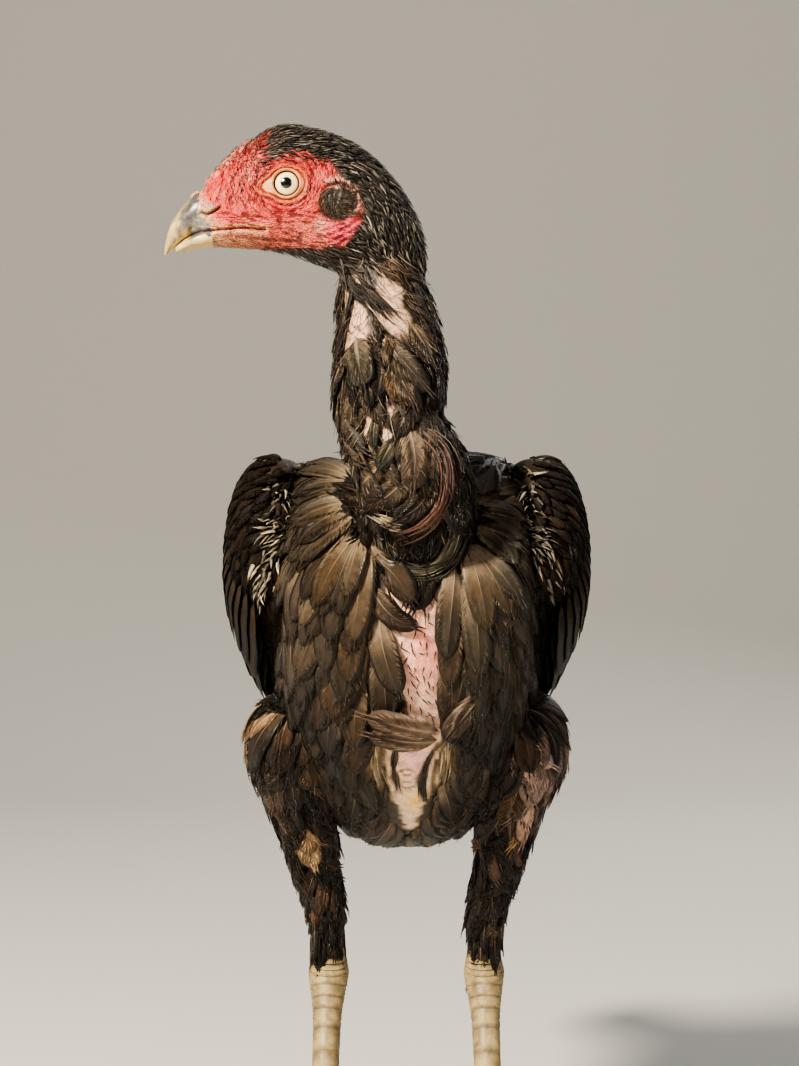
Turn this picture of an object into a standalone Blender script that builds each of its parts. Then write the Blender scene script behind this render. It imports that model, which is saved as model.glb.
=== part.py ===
"""A still, life-size aseel hen: an upright game fowl that stands square on and looks to its right.

Metres, +Z up. The bird faces -Y, its left side is at +X, and the floor is z = 0.
"""

import math

import bmesh
import bpy
import numpy as np
from mathutils import Vector

# Driving sizes of the whole bird, and the gap that touching pieces keep
STANDING_HEIGHT = 0.4505
SHOULDER_HALF = 0.0755
HOCK_HEIGHT = 0.096
GAP = 0.0003

# The bird is laid out from the point of the floor under its shoulders, and then moved so that
# the origin is the middle of its bounding box
MIDDLE_X = -0.0094
MIDDLE_Y = 0.0665

# Trunk: back (y, z), breast or belly (y, z), half width, squareness of the ring
TRUNK_SIDES = 24
TRUNK_RINGS = 16
TRUNK = (
    (-0.040, 0.312, -0.062, 0.292, 0.030, 2.1),
    (-0.014, 0.3235, -0.076, 0.262, 0.0505, 3.3),
    (0.022, 0.317, -0.068, 0.226, 0.056, 2.8),
    (0.058, 0.288, -0.036, 0.183, 0.058, 2.3),
    (0.088, 0.254, 0.018, 0.1545, 0.053, 2.1),
    (0.110, 0.227, 0.072, 0.157, 0.040, 2.0),
    (0.126, 0.209, 0.112, 0.178, 0.023, 2.0),
    (0.137, 0.198, 0.131, 0.187, 0.008, 2.0),
)

# Neck: centre, radius across the bird, radius along it
NECK_SIDES = 16
NECK_RINGS = 15
NECK = (
    (0.003, -0.012, 0.284, 0.026, 0.026),
    (0.004, -0.044, 0.287, 0.025, 0.023),
    (0.004, -0.068, 0.297, 0.0235, 0.022),
    (0.002, -0.078, 0.312, 0.0235, 0.0215),
    (-0.0072, -0.075, 0.330, 0.0214, 0.0205),
    (-0.0068, -0.068, 0.348, 0.0232, 0.0205),
    (-0.0074, -0.061, 0.364, 0.0220, 0.0195),
    (-0.0092, -0.055, 0.380, 0.0200, 0.0175),
    (-0.0118, -0.053, 0.396, 0.0183, 0.0160),
    (-0.016, -0.052, 0.410, 0.0150, 0.0140),
)
NECK_CUT_Z = 0.338

# Head, seen from its left: x, drop of its top and of its bottom below the crown, half width
HEAD_Y = -0.052
HEAD_SIDES = 16
HEAD_RINGS = 15
HEAD_SQUARE = 2.25
HEAD = (
    (-0.0850, 0.0300, 0.0440, 0.0062),
    (-0.0790, 0.0233, 0.0475, 0.0098),
    (-0.0710, 0.0155, 0.0485, 0.0132),
    (-0.0620, 0.0068, 0.0490, 0.0162),
    (-0.0540, 0.0015, 0.0495, 0.0184),
    (-0.0460, 0.0000, 0.0510, 0.0194),
    (-0.0360, 0.0020, 0.0545, 0.0194),
    (-0.0260, 0.0055, 0.0580, 0.0186),
    (-0.0150, 0.0125, 0.0590, 0.0172),
    (-0.0050, 0.0235, 0.0580, 0.0145),
    (0.0030, 0.0375, 0.0585, 0.0100),
    (0.0062, 0.0480, 0.0590, 0.0050),
)

# Eyes: centre, ball, the round opening and the rolled lids, which come to a corner in front
EYE_X, EYE_Z = -0.0468, 0.4245
EYE_BALL = 0.0068
EYE_PROUD = 0.0003
EYE_OPENING = 0.0047
LID_RADIUS = 0.0057
LID_ROLL = 0.0011
LID_RISE = 0.0061
LID_CORNER = 0.22

# Pea comb: each row's distance from the middle, bulb radius and number of bulbs
COMB_ROWS = ((0.0, 0.0040, 4), (-0.0043, 0.0034, 2), (0.0043, 0.0034, 2))
COMB_FROM, COMB_TO = -0.0765, -0.0625
COMB_SUNK = 0.74
CERE_X, CERE_DROP, CERE_RADIUS = -0.0828, 0.0295, 0.0026

# Face: points (x, z) on its side, with the radius of what runs along them
MOUTH = ((-0.0850, 0.4066), (-0.0776, 0.4072), (-0.0644, 0.4079), (-0.0583, 0.4075), (-0.0531, 0.4066))
MOUTH_RADIUS = 0.0009
NOSTRIL = ((-0.0813, 0.4143), (-0.0778, 0.4154), (-0.0738, 0.4160))
NOSTRIL_RADIUS = 0.0009
BROW = ((-0.0632, 0.4350), (-0.0551, 0.4367), (-0.0442, 0.4368), (-0.0344, 0.4351), (-0.0285, 0.4314))
BROW_RADIUS = 0.0024
# Centre (x, z) and half sizes along, out and up
NOSTRIL_FLAP = (-0.0773, 0.4177, 0.0046, 0.0015, 0.0016)
EAR_TUFT = (-0.0268, 0.4175, 0.0072, 0.0026, 0.0076)
EAR_LOBE = (-0.0255, 0.4068, 0.0082, 0.0028, 0.0062)

# Bill: x, z of the ridge, z of the cutting edge, half width
BILL_SIDES = 12
UPPER_BILL = (
    (-0.0760, 0.4225, 0.4090, 0.0080),
    (-0.0826, 0.4232, 0.4075, 0.0075),
    (-0.0867, 0.4200, 0.4054, 0.0066),
    (-0.0902, 0.4158, 0.4032, 0.0054),
    (-0.0930, 0.4112, 0.4008, 0.0040),
    (-0.0948, 0.4062, 0.3990, 0.0026),
    (-0.0957, 0.4012, 0.3982, 0.0010),
)
LOWER_BILL = (
    (-0.0760, 0.4086, 0.4020, 0.0076),
    (-0.0815, 0.4072, 0.4013, 0.0070),
    (-0.0855, 0.4054, 0.4006, 0.0060),
    (-0.0885, 0.4035, 0.4000, 0.0044),
    (-0.0912, 0.4012, 0.3995, 0.0022),
)

# Folded wing, in its own frame: along from the wrist to the tip, up towards the back, and out
WING_WRIST = Vector((0.0, -0.052, 0.285))
WING_SLOPE = math.radians(25)
WING_SIDES = 16
WING_SQUARE = 3.0
# along, lower edge, upper edge, how far inside the shoulder, thickness, how far the upper
# and the lower edge lean in to the body
WING = (
    (-0.002, -0.004, 0.024, 0.0115, 0.016, 0.003, 0.004),
    (0.004, -0.014, 0.041, 0.0050, 0.026, 0.004, 0.007),
    (0.014, -0.022, 0.0495, 0.0018, 0.034, 0.005, 0.010),
    (0.034, -0.030, 0.0520, 0.0000, 0.038, 0.011, 0.014),
    (0.070, -0.029, 0.049, 0.0000, 0.032, 0.023, 0.012),
    (0.110, -0.026, 0.043, 0.0040, 0.024, 0.029, 0.009),
    (0.150, -0.022, 0.031, 0.0140, 0.016, 0.022, 0.006),
    (0.190, -0.016, 0.014, 0.0290, 0.010, 0.011, 0.003),
    (0.221, -0.009, 0.001, 0.0440, 0.005, 0.002, 0.001),
)
WING_TIP = 0.221
# The core under the vanes: where it ends, and how deep it lies under the wing's surface
WING_CORE_END = 0.112
WING_CORE_RINGS = 8
WING_CORE_DEPTH = ((0.0, 0.0), (0.014, 0.0004), (0.034, 0.0026), (0.070, 0.0050), (0.112, 0.0070))

# Vanes: share of the length, of the width and of the thickness at each of its stations
VANE_STATIONS = (
    (0.00, 0.60, 1.0),
    (0.35, 0.95, 1.0),
    (0.80, 0.90, 0.9),
    (1.00, 0.30, 0.6),
)
VANE_THICK = 0.0011
VANE_EDGE = 0.55
# How much deeper each vane's hidden edge lies than that of its neighbour, and the room that
# a neighbouring node leaves for the vanes' raised edges
SHINGLE = 0.0016
VANE_CLEARANCE = 0.0025

# Wing feathers lie on rays from the lower to the upper edge, one under another in tiers:
# name, where they root, tip of the lowest and of the highest, half width, depth, sink of the root
WING_RAYS = 6
WING_TIERS = (
    ("secondary", 0.052, 0.176, 0.142, 0.0086, 0.0035, 0.0060),
    ("greater covert", 0.033, 0.110, 0.096, 0.0078, 0.0017, 0.0060),
    ("median covert", 0.013, 0.068, 0.058, 0.0072, 0.0000, 0.0050),
)
# Primaries: height as a share of the wing's, and tip; each lies a little deeper than the last
PRIMARIES = ((0.46, 0.197), (0.34, 0.206), (0.22, 0.214), (0.10, 0.221))
PRIMARY_ROOT = 0.084
PRIMARY_HALF = 0.0056
PRIMARY_DEPTH, PRIMARY_STEP = 0.0064, 0.0013

# Tail: a steep closed fan that droops, rounded across like a roof
TAIL_ROOT = Vector((0.0, 0.096, 0.2140))
TAIL_DROOP = math.radians(17)
TAIL_ROUND = 0.0240
TAIL_SPACING = 0.0062
# The fan opens from the first to the second share of its width, from root to tip
TAIL_OPENING = (0.80, 1.25)
# The core under the vanes: depth under the roof, and along, half width, half depth
TAIL_SIDES = 12
TAIL_CORE_DEPTH = 0.0045
TAIL_CORE = (
    (0.000, 0.0180, 0.0160),
    (0.024, 0.0185, 0.0170),
    (0.044, 0.0170, 0.0150),
    (0.062, 0.0130, 0.0110),
    (0.070, 0.0080, 0.0060),
)
# name, root, tip in the middle, how much shorter at the side, half width, depth, pairs
TAIL_TIERS = (
    ("tail feather", 0.034, 0.143, 0.012, 0.0086, 0.0026, 5),
    ("tail covert", 0.012, 0.088, 0.020, 0.0084, 0.0002, 4),
)
TAIL_SINK = 0.0060

# Legs: centre, radius
LEG_SIDES = 12
THIGH_RINGS = 11
THIGH = (
    (0.0400, -0.008, 0.216, 0.0150),
    (0.0450, -0.004, 0.206, 0.0225),
    (0.0455, 0.003, 0.194, 0.0222),
    (0.0440, 0.010, 0.182, 0.0186),
    (0.0421, 0.018, 0.168, 0.0152),
    (0.0396, 0.027, 0.150, 0.0124),
    (0.0362, 0.036, 0.1325, 0.0104),
    (0.0338, 0.0435, 0.1177, 0.0090),
    (0.0336, 0.0475, 0.106, 0.0082),
)
HOCK = Vector((0.0340, 0.0500, HOCK_HEIGHT))
FOOT_TOP = Vector((0.0360, 0.0200, 0.0175))
SHANK_RADIUS = 0.0058
HOCK_RADIUS = 0.0084
SHANK_SCUTES = 8
SCUTE_STEP = 0.0007

# Toes: turn from straight ahead (towards the outside), length without claw, root radius
TOES = (
    ("middle", 2, 0.050, 0.0052),
    ("inner", -34, 0.036, 0.0047),
    ("outer", 40, 0.038, 0.0046),
    ("hind", 168, 0.018, 0.0042),
)
TOE_SIDES = 10
# Ball of the foot: height, radius
FOOT_BALL = ((0.0165, 0.0074), (0.0130, 0.0080), (0.0085, 0.0082), (0.0040, 0.0062))
CLAW_LENGTH = 0.0125
CLAW_RADIUS = 0.0026

# Base colour, roughness
COLOURS = {
    "plumage": ((0.045, 0.030, 0.021), 0.45),
    "breast": ((0.075, 0.052, 0.036), 0.50),
    "face": ((0.55, 0.10, 0.08), 0.60),
    "horn": ((0.42, 0.34, 0.22), 0.35),
    "eye": ((0.78, 0.72, 0.52), 0.10),
    "scale": ((0.42, 0.33, 0.15), 0.50),
}


def refined(stations, count):
    """The same smooth run of stations, read at count even steps (a Catmull-Rom curve)."""
    rows = np.array(stations, float)
    padded = np.vstack([2 * rows[0] - rows[1], rows, 2 * rows[-1] - rows[-2]])
    out = []
    for place in np.linspace(0, len(rows) - 1, count):
        i = min(int(place), len(rows) - 2)
        t = place - i
        a, b, c, d = padded[i : i + 4]
        out.append(
            0.5 * (2 * b + (c - a) * t + (2 * a - 5 * b + 4 * c - d) * t**2)
            + 0.5 * (3 * b - a - 3 * c + d) * t**3
        )
    return np.array(out)


def material(name):
    found = bpy.data.materials.get(name)
    if found:
        return found
    colour, roughness = COLOURS[name]
    made = bpy.data.materials.new(name)
    made.use_nodes = True
    shader = made.node_tree.nodes["Principled BSDF"]
    shader.inputs["Base Color"].default_value = (*colour, 1.0)
    shader.inputs["Roughness"].default_value = roughness
    shader.inputs["Metallic"].default_value = 0.0
    return made


def closed_mesh(name, points, faces, look):
    """An object from points in the layout's frame, with all faces turned outwards."""
    mesh = bpy.data.meshes.new(name)
    moved = [(x - MIDDLE_X, y - MIDDLE_Y, z) for x, y, z in points]
    mesh.from_pydata(moved, [], faces)
    work = bmesh.new()
    work.from_mesh(mesh)
    bmesh.ops.recalc_face_normals(work, faces=work.faces)
    bmesh.ops.triangulate(work, faces=work.faces)
    work.to_mesh(mesh)
    work.free()
    mesh.materials.append(material(look))
    obj = bpy.data.objects.new(name, mesh)
    bpy.context.scene.collection.objects.link(obj)
    return obj


def lofted(name, rings, look):
    """A skin through rings of equally many points, closed by a fan at each end."""
    rings = [np.array(ring, float) for ring in rings]
    sides = len(rings[0])
    points = [tuple(p) for ring in rings for p in ring]
    faces = []
    for r in range(len(rings) - 1):
        for k in range(sides):
            near, far = r * sides, (r + 1) * sides
            nxt = (k + 1) % sides
            faces.append((near + k, near + nxt, far + nxt, far + k))
    for ring, start in ((rings[0], 0), (rings[-1], (len(rings) - 1) * sides)):
        points.append(tuple(ring.mean(axis=0)))
        hub = len(points) - 1
        for k in range(sides):
            faces.append((hub, start + k, start + (k + 1) % sides))
    return closed_mesh(name, points, faces, look)


def rounded(angle, squareness):
    """A point of the unit superellipse."""
    c, s = math.cos(angle), math.sin(angle)
    power = 2 / squareness
    return math.copysign(abs(c) ** power, c), math.copysign(abs(s) ** power, s)


def oval_ring(top, bottom, side, squareness, count):
    """A ring between two points, with side as its half width's vector."""
    middle, up = (top + bottom) / 2, (top - bottom) / 2
    ring = []
    for k in range(count):
        across, along = rounded(2 * math.pi * k / count, squareness)
        ring.append(middle + side * across + up * along)
    return ring


def tube_rings(centres, radii, count, reference=(1.0, 0.0, 0.0)):
    """Rings square to a path. Each radius is (along the reference, across it)."""
    centres = np.array(centres, float)
    ahead = np.gradient(centres, axis=0)
    rings = []
    for centre, tangent, (first, second) in zip(centres, ahead, radii):
        tangent = tangent / np.linalg.norm(tangent)
        one = np.array(reference) - tangent * np.dot(reference, tangent)
        one /= np.linalg.norm(one)
        two = np.cross(tangent, one)
        angles = [2 * math.pi * k / count for k in range(count)]
        rings.append(
            [
                centre + one * first * math.cos(a) + two * second * math.sin(a)
                for a in angles
            ]
        )
    return rings


def as_evaluated(obj):
    """Replaces an object's mesh by what its modifiers make of it."""
    graph = bpy.context.evaluated_depsgraph_get()
    mesh = bpy.data.meshes.new_from_object(obj.evaluated_get(graph))
    obj.modifiers.clear()
    obj.data = mesh
    return obj


def remove(obj):
    bpy.data.objects.remove(obj)


def keep_largest(obj):
    """Leaves only the closed surface that holds the most."""
    work = bmesh.new()
    work.from_mesh(obj.data)
    left, shells = set(work.faces), []
    while left:
        seed = left.pop()
        shell, edge_of = [seed], [seed]
        while edge_of:
            face = edge_of.pop()
            for edge in face.edges:
                for other in edge.link_faces:
                    if other in left:
                        left.remove(other)
                        shell.append(other)
                        edge_of.append(other)
        shells.append(shell)

    def volume(shell):
        total = 0.0
        for face in shell:
            first = face.verts[0].co
            for one, two in zip(face.verts[1:], face.verts[2:]):
                total += first.dot(one.co.cross(two.co)) / 6
        return total

    best = max(shells, key=lambda shell: abs(volume(shell)))
    drop = [face for shell in shells if shell is not best for face in shell]
    if drop:
        bmesh.ops.delete(work, geom=drop, context="FACES")
    bmesh.ops.triangulate(work, faces=work.faces)
    work.to_mesh(obj.data)
    work.free()
    return obj


def cut(obj, *cutters, solver="EXACT"):
    """Takes each cutter away from obj, and removes the cutters."""
    for cutter in cutters:
        modifier = obj.modifiers.new("cut", "BOOLEAN")
        modifier.operation = "DIFFERENCE"
        modifier.solver = solver
        modifier.object = cutter
        as_evaluated(obj)
        remove(cutter)
    return keep_largest(obj)


def fused(obj, pieces, solver="MANIFOLD"):
    """Joins closed pieces to obj in one Boolean union."""
    group = bpy.data.collections.new("pieces of " + obj.name)
    for piece in pieces:
        group.objects.link(piece)
    modifier = obj.modifiers.new("union", "BOOLEAN")
    modifier.operation = "UNION"
    modifier.operand_type = "COLLECTION"
    modifier.solver = solver
    modifier.collection = group
    as_evaluated(obj)
    for piece in pieces:
        remove(piece)
    bpy.data.collections.remove(group)
    return keep_largest(obj)


def stretched(rings, distance):
    """The rings with the first and the last moved outwards along the form by a distance."""
    for ring, inner in ((0, 1), (-1, -2)):
        ahead = np.mean(rings[ring], axis=0) - np.mean(rings[inner], axis=0)
        ahead *= distance / np.linalg.norm(ahead)
        rings[ring] = [np.array(point) + ahead for point in rings[ring]]
    return rings


def trunk(name="torso", grow=0.0):
    rings = []
    for by, bz, vy, vz, half, square in refined(TRUNK, TRUNK_RINGS):
        top, bottom = np.array((0, by, bz)), np.array((0, vy, vz))
        up = (top - bottom) / np.linalg.norm(top - bottom) * grow
        side = np.array((half + grow, 0, 0))
        rings.append(oval_ring(top + up, bottom - up, side, square, TRUNK_SIDES))
    return lofted(name, stretched(rings, grow), "breast")


def neck(name="neck", grow=0.0):
    rows = refined(NECK, NECK_RINGS)
    rings = stretched(tube_rings(rows[:, :3], rows[:, 3:5] + grow, NECK_SIDES), grow)
    return lofted(name, rings, "plumage")


def head_core(name="head", grow=0.0):
    rings = []
    for x, top, bottom, half in refined(HEAD, HEAD_RINGS):
        high = np.array((x, HEAD_Y, STANDING_HEIGHT - top + grow))
        low = np.array((x, HEAD_Y, STANDING_HEIGHT - bottom - grow))
        side = np.array((0, half + grow, 0))
        rings.append(oval_ring(high, low, side, HEAD_SQUARE, HEAD_SIDES))
    return lofted(name, stretched(rings, grow), "face")


def head_row(x):
    """Top, bottom and half width of the head at x."""
    table = refined(HEAD, 60)
    top, bottom, half = (float(np.interp(x, table[:, 0], table[:, k])) for k in (1, 2, 3))
    return STANDING_HEIGHT - top, STANDING_HEIGHT - bottom, half


def on_face(side, x, z, proud=0.0):
    """A point of the side of the head. Its left side, +1, is the one towards -Y."""
    top, bottom, half = head_row(x)
    height = min(abs(2 * z - top - bottom) / (top - bottom), 0.98)
    reach = half * (1 - height**HEAD_SQUARE) ** (1 / HEAD_SQUARE)
    return np.array((x, HEAD_Y - side * (reach + proud), z))


def on_crown(x, offset):
    """A point of the top of the head, at an offset from its middle plane."""
    top, bottom, half = head_row(x)
    share = min(abs(offset) / half, 0.98)
    rise = (top - bottom) / 2 * (1 - share**HEAD_SQUARE) ** (1 / HEAD_SQUARE)
    return np.array((x, HEAD_Y + offset, (top + bottom) / 2 + rise))


def along_face(name, side, points, radius, sides=6):
    """A tapered roll along points of the side of the head, raised or for a groove."""
    rows = refined(points, len(points) + 2)
    centres = [on_face(side, x, z) for x, z in rows]
    last = len(centres) - 1
    sizes = [radius * (0.45 + 0.55 * math.sin(math.pi * k / last)) for k in range(last + 1)]
    rings = tube_rings(centres, [(s, s) for s in sizes], sides, reference=(0.0, 0.0, 1.0))
    return lofted(name, rings, "face")


def swelling(name, side, form, steps=(8, 5)):
    """A low oval swelling on the side of the head."""
    x, z, along, out, up = form
    return ball(name, on_face(side, x, z), 1.0, "face", (along, out, up), steps)


def lids(name, side):
    """The rolled rim round the eye, with a corner towards the bill."""
    count, sides = 12, 5
    centre = eye_centre(side)
    points, faces = [], []
    for k in range(count):
        turn = 2 * math.pi * k / count
        corner = 1 + LID_CORNER * max(0.0, -math.cos(turn)) ** 8
        for j in range(sides):
            roll = 2 * math.pi * j / sides
            reach = LID_RADIUS * corner + LID_ROLL * math.cos(roll)
            rise = LID_RISE + LID_ROLL * math.sin(roll)
            x = centre[0] + reach * math.cos(turn)
            z = centre[2] + reach * math.sin(turn)
            points.append((x, centre[1] - side * rise, z))
            near, far = k * sides, (k + 1) % count * sides
            nxt = (j + 1) % sides
            faces.append((near + j, near + nxt, far + nxt, far + j))
    return closed_mesh(name, points, faces, "face")


def comb_bulbs():
    """The pea comb: three rows of small bulbs, and the swelling where the bill begins."""
    bulbs = []
    for offset, radius, count in COMB_ROWS:
        for k in range(count):
            share = k / (count - 1)
            size = radius * (0.8 + 0.3 * math.sin(math.pi * share))
            inset = 0.0022 if offset else 0.0
            first, last = COMB_FROM + inset, COMB_TO - inset
            centre = on_crown(first + (last - first) * share, offset)
            centre[2] -= size * COMB_SUNK
            bulbs.append(ball("comb bulb", centre, size, "face", steps=(6, 4)))
    cere = (CERE_X, HEAD_Y, STANDING_HEIGHT - CERE_DROP)
    bulbs.append(ball("cere", cere, CERE_RADIUS, "face", steps=(6, 4)))
    return bulbs


def head():
    """The head with comb, lids, brows, ears, nostrils and mouth. Also cuts the bill's halves."""
    skull = head_core()
    raised = comb_bulbs()
    for side in (1, -1):
        raised.append(lids("lids", side))
        raised.append(along_face("brow", side, BROW, BROW_RADIUS))
        raised.append(swelling("nostril flap", side, NOSTRIL_FLAP, (7, 4)))
        raised.append(swelling("ear tuft", side, EAR_TUFT))
        raised.append(swelling("ear lobe", side, EAR_LOBE))
    fused(skull, raised)
    upper, lower = bill_half("bill_upper", UPPER_BILL), bill_half("bill_lower", LOWER_BILL)
    cut(upper, grown_copy(skull), solver="MANIFOLD")
    cut(lower, grown_copy(skull), grown_copy(upper), solver="MANIFOLD")
    for side, word in ((1, "left"), (-1, "right")):
        cut(
            skull,
            ball("socket", eye_centre(side), EYE_BALL + GAP, "eye"),
            eye_bore(side),
            along_face("mouth groove", side, MOUTH, MOUTH_RADIUS),
            along_face("nostril", side, NOSTRIL, NOSTRIL_RADIUS),
            solver="MANIFOLD",
        )
        ball(f"eye_{word}", eye_centre(side), EYE_BALL, "eye")


def eye_bore(side):
    """A round bore from the eyeball's middle out through the lids."""
    x, y, z = eye_centre(side)
    centres = [(x, y - side * rise, z) for rise in (0.0, EYE_BALL, 2 * EYE_BALL)]
    radii = [(EYE_OPENING, EYE_OPENING)] * 3
    return lofted("eye bore", tube_rings(centres, radii, 12), "eye")


def bill_half(name, stations):
    rings = []
    for x, top, bottom, half in refined(stations, len(stations) + 2):
        high, low = np.array((x, HEAD_Y, top)), np.array((x, HEAD_Y, bottom))
        rings.append(oval_ring(high, low, np.array((0, half, 0)), 2.2, BILL_SIDES))
    return lofted(name, rings, "horn")


def slab(name, z, half=0.2, thickness=GAP):
    """A wide level slab, which parts what it crosses."""
    corners = [
        (x, y, z + h)
        for h in (-thickness / 2, thickness / 2)
        for x, y in ((-half, -half), (half, -half), (half, half), (-half, half))
    ]
    faces = [
        (0, 1, 2, 3),
        (4, 5, 6, 7),
        (0, 1, 5, 4),
        (1, 2, 6, 5),
        (2, 3, 7, 6),
        (3, 0, 4, 7),
    ]
    return closed_mesh(name, corners, faces, "plumage")


def wing_point(side, along, up, out):
    """A point of the wing's own frame, in the layout's frame."""
    y = WING_WRIST.y + along * math.cos(WING_SLOPE) + up * math.sin(WING_SLOPE)
    z = WING_WRIST.z - along * math.sin(WING_SLOPE) + up * math.cos(WING_SLOPE)
    return np.array((side * out, y, z))


def wing_row(along):
    """Lower edge, upper edge, inset, thickness and the two leans at a place along the wing."""
    table = refined(WING, 80)
    return [float(np.interp(along, table[:, 0], table[:, k])) for k in range(1, 7)]


def wing_inset(share, inset, lean_high, lean_low):
    """How far inside the shoulder the wing's surface lies; share runs from low to high."""
    high, low = max(0.0, (share - 0.5) / 0.5), max(0.0, (0.4 - share) / 0.4)
    return inset + lean_high * high**2 + lean_low * low**2


def wing_surface(side, along, share):
    low, high, inset, _, lean_high, lean_low = wing_row(along)
    out = SHOULDER_HALF - wing_inset(share, inset, lean_high, lean_low)
    return wing_point(side, along, low + (high - low) * share, out)


def wing_skin(side, along, share, depth):
    """A point at a depth under the wing's surface, square to it."""
    step, rise = 0.002, 0.03
    ahead = wing_surface(side, along + step, share) - wing_surface(side, along - step, share)
    above = wing_surface(side, along, share + rise) - wing_surface(side, along, share - rise)
    outward = np.cross(ahead, above)
    outward *= math.copysign(1 / np.linalg.norm(outward), outward[0] * side)
    return wing_surface(side, along, share) - outward * depth


def wing_form(name, side, end, count, depths, grow=0.0):
    """A smooth closed form of the wing from the wrist to a place along it."""
    rings = []
    for along in np.linspace(WING[0][0], end, count):
        low, high, inset, thick, lean_high, lean_low = wing_row(along)
        depth = float(np.interp(along, [d[0] for d in depths], [d[1] for d in depths]))
        ring = []
        for k in range(WING_SIDES):
            across, up = rounded(2 * math.pi * k / WING_SIDES, WING_SQUARE)
            share = (up + 1) / 2
            half = (thick - depth) / 2
            surface = SHOULDER_HALF - wing_inset(share, inset, lean_high, lean_low)
            out = surface - depth - half + across * (half + grow)
            ring.append(wing_point(side, along, low + (high - low) * share + up * grow, out))
        rings.append(ring)
    return lofted(name, stretched(rings, grow), "plumage")


def vane(name, place, root, tip, half, sink, inner=None):
    """One feather as a thin closed blade; place gives a point from along, across and depth."""
    top, bottom = [], []
    inner = half if inner is None else inner
    for share, wide, thick in VANE_STATIONS:
        along = root + (tip - root) * share
        dip = sink * max(0.0, 1 - share / 0.3) ** 2
        for across, edge in ((-inner, VANE_EDGE), (0.0, 1.0), (half, VANE_EDGE)):
            thickness = VANE_THICK * thick * edge
            top.append(place(along, across * wide, dip - thickness / 2))
            bottom.append(place(along, across * wide, dip + thickness / 2))
    columns, rows = 3, len(VANE_STATIONS)
    count = columns * rows
    faces = []
    for r in range(rows - 1):
        for c in range(columns - 1):
            a = r * columns + c
            b, d, e = a + 1, a + columns, a + columns + 1
            faces += [(a, b, e), (a, e, d), (a + count, e + count, b + count)]
            faces.append((a + count, d + count, e + count))
    rim = list(range(columns)) + [columns * r + 2 for r in range(1, rows)]
    rim += [count - 2] + [columns * r for r in range(rows - 1, 0, -1)]
    for one, two in zip(rim, rim[1:] + rim[:1]):
        faces.append((one, two, two + count, one + count))
    return closed_mesh(name, top + bottom, faces, "plumage")


def wing_vane(name, side, share, root, tip, half, depth, sink, shingle=SHINGLE):
    """A wing feather on the ray at a share of the wing's height."""

    def place(along, across, deeper):
        low, high = wing_row(along)[:2]
        offset = across / (high - low)
        return wing_skin(side, along, share + offset, depth + shingle * offset * WING_RAYS + deeper)

    return vane(name, place, root, tip, half, sink)


def wing(name, side):
    made = wing_form(name, side, WING_CORE_END, WING_CORE_RINGS, WING_CORE_DEPTH)
    vanes = []
    for tier, (kind, root, low_tip, high_tip, half, depth, sink) in enumerate(WING_TIERS):
        for k in range(WING_RAYS):
            share = (k + 0.5) / WING_RAYS
            tip = low_tip + (high_tip - low_tip) * k / (WING_RAYS - 1)
            tip += 0.0020 * math.sin(2.3 * k + 1.7 * tier)
            vanes.append(wing_vane(kind, side, share, root, tip, half, depth, sink))
    for k, (share, tip) in enumerate(PRIMARIES):
        depth = PRIMARY_DEPTH + PRIMARY_STEP * k
        vanes.append(
            wing_vane("primary", side, share, PRIMARY_ROOT, tip, PRIMARY_HALF, depth, 0.002, 0.0)
        )
    fused(made, vanes)
    return cut(made, trunk("trunk cutter", GAP), solver="MANIFOLD")


def tail_point(along, across, depth):
    """A point under the tail's rounded roof; across runs round it from the ridge."""
    share = min(max(along / TAIL_TIERS[0][2], 0.0), 1.0)
    first, last = TAIL_OPENING
    turn = across * (first + (last - first) * share) / TAIL_ROUND
    reach = TAIL_ROUND - depth
    x, up = reach * math.sin(turn), reach * math.cos(turn) - TAIL_ROUND
    y = TAIL_ROOT.y + along * math.cos(TAIL_DROOP) + up * math.sin(TAIL_DROOP)
    z = TAIL_ROOT.z - along * math.sin(TAIL_DROOP) + up * math.cos(TAIL_DROOP)
    return np.array((x, y, z))


def tail_vane(name, side, centre, root, tip, half, depth):
    """A tail feather at a distance round from the ridge; the one on the ridge lies on top."""
    if side == 0:
        lift = SHINGLE * 0.9

        def place(along, across, deeper):
            return tail_point(along, across, depth - lift + deeper)

        return vane(name, place, root, tip, half, TAIL_SINK + lift)

    def place(along, across, deeper):
        slant = -SHINGLE * across / TAIL_SPACING
        return tail_point(along, side * (centre + across), depth + slant + deeper)

    return vane(name, place, root, tip, half, TAIL_SINK, min(half, centre - 0.0004))


def tail(name="tail"):
    rings = []
    for along, half, deep in refined(TAIL_CORE, len(TAIL_CORE) + 2):
        middle = tail_point(along, 0.0, deep + TAIL_CORE_DEPTH)
        up = np.array((0.0, math.sin(TAIL_DROOP), math.cos(TAIL_DROOP))) * deep
        side = np.array((half, 0, 0))
        rings.append(oval_ring(middle + up, middle - up, side, 2.0, TAIL_SIDES))
    made = lofted(name, rings, "plumage")
    vanes = []
    for kind, root, tip, shorter, half, depth, pairs in TAIL_TIERS:
        vanes.append(tail_vane(kind, 0, 0.0, root, tip, half, depth))
        for k in range(1, pairs + 1):
            end = tip - shorter * (k / pairs) ** 1.5
            for side in (1, -1):
                vanes.append(tail_vane(kind, side, k * TAIL_SPACING, root, end, half, depth))
    fused(made, vanes)
    return cut(made, trunk("trunk cutter", GAP), solver="MANIFOLD")


def mirrored(vector, side):
    return np.array((vector[0] * side, vector[1], vector[2]))


def thigh(name, side, grow=0.0):
    rows = refined(THIGH, THIGH_RINGS)
    centres = [mirrored(row[:3], side) for row in rows]
    radii = [(row[3] + grow, row[3] + grow) for row in rows]
    rings = stretched(tube_rings(centres, radii, LEG_SIDES), grow)
    return lofted(name, rings, "plumage")


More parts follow.
